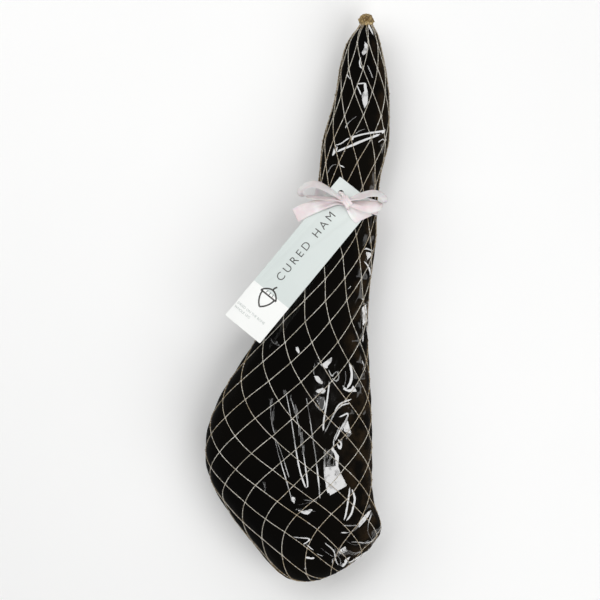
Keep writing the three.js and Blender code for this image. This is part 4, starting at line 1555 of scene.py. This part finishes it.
class Ribbon:
    """Lengths of one satin ribbon, gathered into one sheet."""

    def __init__(self):
        self.points, self.faces, self.uvs = [], [], []
        self.count = 0
        self.length = 0.0

    def lay(self, places, cut=0.0, closed=False):
        """One length. Each place is a point, the way of the ribbon's width, how much of the
        width is open, and how deep it is pleated. cut slants its far end."""
        rows = curve_through(places, 1.5 * MM)
        path = rows[:, :3]
        ahead = np.gradient(path, axis=0)
        if closed:
            ahead[0] = ahead[-1] = path[1] - path[-2]
        ahead /= np.linalg.norm(ahead, axis=1, keepdims=True)
        broad = rows[:, 3:6] - ahead * (rows[:, 3:6] * ahead).sum(1, keepdims=True)
        broad /= np.linalg.norm(broad, axis=1, keepdims=True)
        normal = np.cross(ahead, broad)
        far = walked(path)
        slant = np.clip((far - far[-1]) / (2.5 * abs(cut) + 1e-6) + 1, 0, 1)[:, None, None]
        half = (RIBBON_WIDTH / 2 * rows[:, 6:7] * PLEATS)[..., None]
        wave = (rows[:, 7:8] * np.cos(1.5 * math.pi * PLEATS))[..., None]
        sheet = path[:, None] + broad[:, None] * half + normal[:, None] * wave
        sheet = sheet + ahead[:, None] * (cut * PLEATS)[:, None] * slant
        n, k = sheet.shape[:2]
        index = self.count + np.arange(n * k).reshape(n, k)
        quads = np.stack([index[:-1, :-1], index[1:, :-1], index[1:, 1:], index[:-1, 1:]], -1)
        self.faces.extend(map(tuple, quads.reshape(-1, 4)))
        self.points.append(sheet.reshape(-1, 3))
        along = np.repeat((self.length + far) / WEAVE_REPEAT, k)
        self.uvs.append(np.stack([along, np.tile(PLEATS / 2 + 0.5, n)], 1))
        self.count += n * k
        self.length += far[-1]


def in_bow(place, rows):
    """Rows given in millimetres from the bow's knot, put in their place."""
    rows = np.array(rows, float)
    turned = np.array(place.to_3x3())
    rows[:, :3] = rows[:, :3] * MM @ turned.T + np.array(place.translation)
    rows[:, 3:6] = rows[:, 3:6] @ turned.T
    rows[:, 7] *= MM
    return rows


def bow_frame():
    """The knot's place on the card, with x to the right of the view and z off the card."""
    normal = card_place.to_3x3().col[2].normalized()
    right = Vector((math.cos(VIEW_ROLL), math.sin(VIEW_ROLL), 0))
    right = (right - normal * right.dot(normal)).normalized()
    place = Matrix([right, normal.cross(right), normal]).transposed().to_4x4()
    place.translation = card_place @ Vector((0, HOLE_ALONG - 6 * MM, CARD_WALL / 2))
    return place


# The bow's lengths, as rows for in_bow(): a point in millimetres from the knot, the way of the
# ribbon's width, how much of the width is open, and how deep it is pleated in millimetres.
LEFT_LOOP = [
    (-2, 1, 5.0, 0.1, -0.5, 0.85, 0.42, 1.5),
    (-17.8, 12.0, 8.5, 0.0, -0.58, 0.80, 0.80, 0.7),
    (-30.3, 20.0, 10.0, 0.0, -0.62, 0.78, 1.0, 0.3),
    (-41.7, 25.0, 10.5, 0.0, -0.62, 0.78, 1.0, 0.0),
    (-52.5, 24.4, 10.5, 0.25, -0.55, 0.80, 1.0, 0.0),
    (-60.2, 20.0, 10.5, 0.5, -0.25, 0.83, 1.0, 0.0),
    (-62.6, 14.8, 10.0, 0.6, 0.0, 0.80, 1.0, 0.0),
    (-58.8, 10.0, 9.5, 0.35, -0.2, 0.90, 1.0, 0.0),
    (-50.0, 7.4, 9.0, 0.05, -0.42, 0.90, 1.0, 0.0),
    (-33.1, 5.8, 8.0, 0.0, -0.45, 0.90, 1.0, 0.2),
    (-15.0, 4.6, 6.5, 0.0, -0.45, 0.90, 0.7, 0.7),
    (-2, -1, 4.5, 0.0, -0.4, 0.90, 0.42, 1.5),
]
RIGHT_LOOP = [
    (2, 2, 5.0, 0.0, -0.6, 0.80, 0.42, 1.5),
    (9.5, 5.5, 8.0, 0.0, -0.6, 0.80, 0.72, 0.8),
    (18.3, 7.6, 9.5, 0.0, -0.62, 0.78, 1.0, 0.2),
    (29.5, 10.7, 10.0, 0.0, -0.62, 0.78, 1.0, 0.0),
    (39.2, 11.4, 10.0, -0.1, -0.60, 0.78, 1.0, 0.0),
    (47.5, 8.3, 9.5, -0.35, -0.40, 0.85, 1.0, 0.0),
    (51.5, 1.8, 9.0, -0.5, -0.3, 0.80, 1.0, 0.0),
    (46.8, -4.2, 8.0, -0.3, -0.75, 0.60, 1.0, 0.0),
    (37.8, -6.7, 7.0, 0.0, -0.88, 0.47, 1.0, 0.0),
    (26.7, -6.3, 6.5, 0.0, -0.88, 0.47, 1.0, 0.2),
    (14.2, -3.8, 6.0, 0.0, -0.80, 0.60, 0.85, 0.6),
    (2, -1, 4.5, 0.0, -0.7, 0.70, 0.42, 1.5),
]
LEFT_TAIL = [
    (-2, 0, 3.2, 0.2, 0.95, 0.0, 0.42, 1.2),
    (-14, 2.0, 3.0, 0.15, 0.98, 0.1, 0.5, 1.2),
    (-28.9, -1.5, 2.8, 0.0, 1.0, 0.1, 0.65, 1.4),
    (-47.0, -6.0, 2.2, -0.2, 0.95, 0.05, 0.92, 0.9),
    (-60.9, -11.1, 0.8, -0.4, 0.9, 0.0, 1.0, 0.4),
    (-71.5, -16.3, -1.5, -0.5, 0.85, -0.1, 1.0, 0.1),
]
RIGHT_TAIL = [
    (2, -1, 3.4, 0.8, 0.55, 0.1, 0.42, 1.5),
    (6.5, -7.5, 3.6, 0.85, 0.5, 0.15, 0.78, 1.3),
    (13.5, -14.5, 2.6, 0.82, 0.55, 0.1, 1.08, 0.8),
    (23.8, -22.6, 0.4, 0.8, 0.6, 0.0, 1.15, 0.3),
]


def add_ribbon():
    ribbon = Ribbon()
    bow = bow_frame()
    to_bow = bow.inverted()
    side = band_axis.orthogonal().normalized()
    other = band_axis.cross(side)
    ring = []
    for a in np.linspace(0, 2 * math.pi, 73):
        way = side * math.cos(a) + other * math.sin(a)
        point, normal, _, _ = skin.tree.ray_cast(band_middle, way)
        ring.append([*(point + normal * (RIBBON_OFF + 0.5 * MM)), *band_axis, 1.0, 0.12 * MM])
    ribbon.lay(ring, closed=True)
    for hand in (-1, 1):
        hole = card_place @ Vector((hand * (HOLE_ACROSS - 1.2 * MM), HOLE_ALONG - 0.8 * MM, 0))
        down = to_bow @ skin.reach(hole, -UP)
        x, y, z = (to_bow @ hole) / MM
        drop = max(down.z / MM + 4.0, -16)
        thread = [
            (x * 0.8, y * 0.8, drop, 0, 1, 0, 0.30, 0.8),
            (x, y, -3.0, 0, 1, 0, 0.26, 0.8),
            (x * 0.98, y * 0.98, 0.4, 0, 1, 0, 0.26, 0.8),
            (x * 0.86, y * 0.86, 2.2, 0, 1, 0.1, 0.30, 0.8),
            (x * 0.5, y * 0.5, 2.8, 0, 1, 0, 0.36, 1.0),
            (x * 0.1, y * 0.1, 3.2, 0, 1, 0, 0.4, 1.0),
        ]
        ribbon.lay(in_bow(bow, thread))
    ribbon.lay(in_bow(bow, LEFT_TAIL))
    ribbon.lay(in_bow(bow, RIGHT_TAIL), cut=6 * MM)
    ribbon.lay(in_bow(bow, LEFT_LOOP))
    ribbon.lay(in_bow(bow, RIGHT_LOOP))
    wrap = []
    for a in np.linspace(0, 2 * math.pi, 17):
        reach = 8.4 * math.cos(a)
        wrap.append((0.55 * reach, -0.83 * reach, 5.4 + 4.6 * math.sin(a), 0.83, 0.55, 0.0, 0.56, 0.7))
    ribbon.lay(in_bow(bow, wrap), closed=True)
    satin = add_mesh("satin_ribbon", np.concatenate(ribbon.points), ribbon.faces, satin_material())
    uvs = satin.data.uv_layers.new(name="weave")
    values = np.concatenate(ribbon.uvs)
    for loop in satin.data.loops:
        uvs.data[loop.index].uv = values[loop.vertex_index]
    applied(satin, "SOLIDIFY", thickness=RIBBON_WALL, offset=0.0)
    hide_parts("ribbon")


add_ribbon()

# ---------------------------------------------------------------- finishing

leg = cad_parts["ham_leg"]
leg.data.materials.clear()
leg.data.materials.append(rind_material())
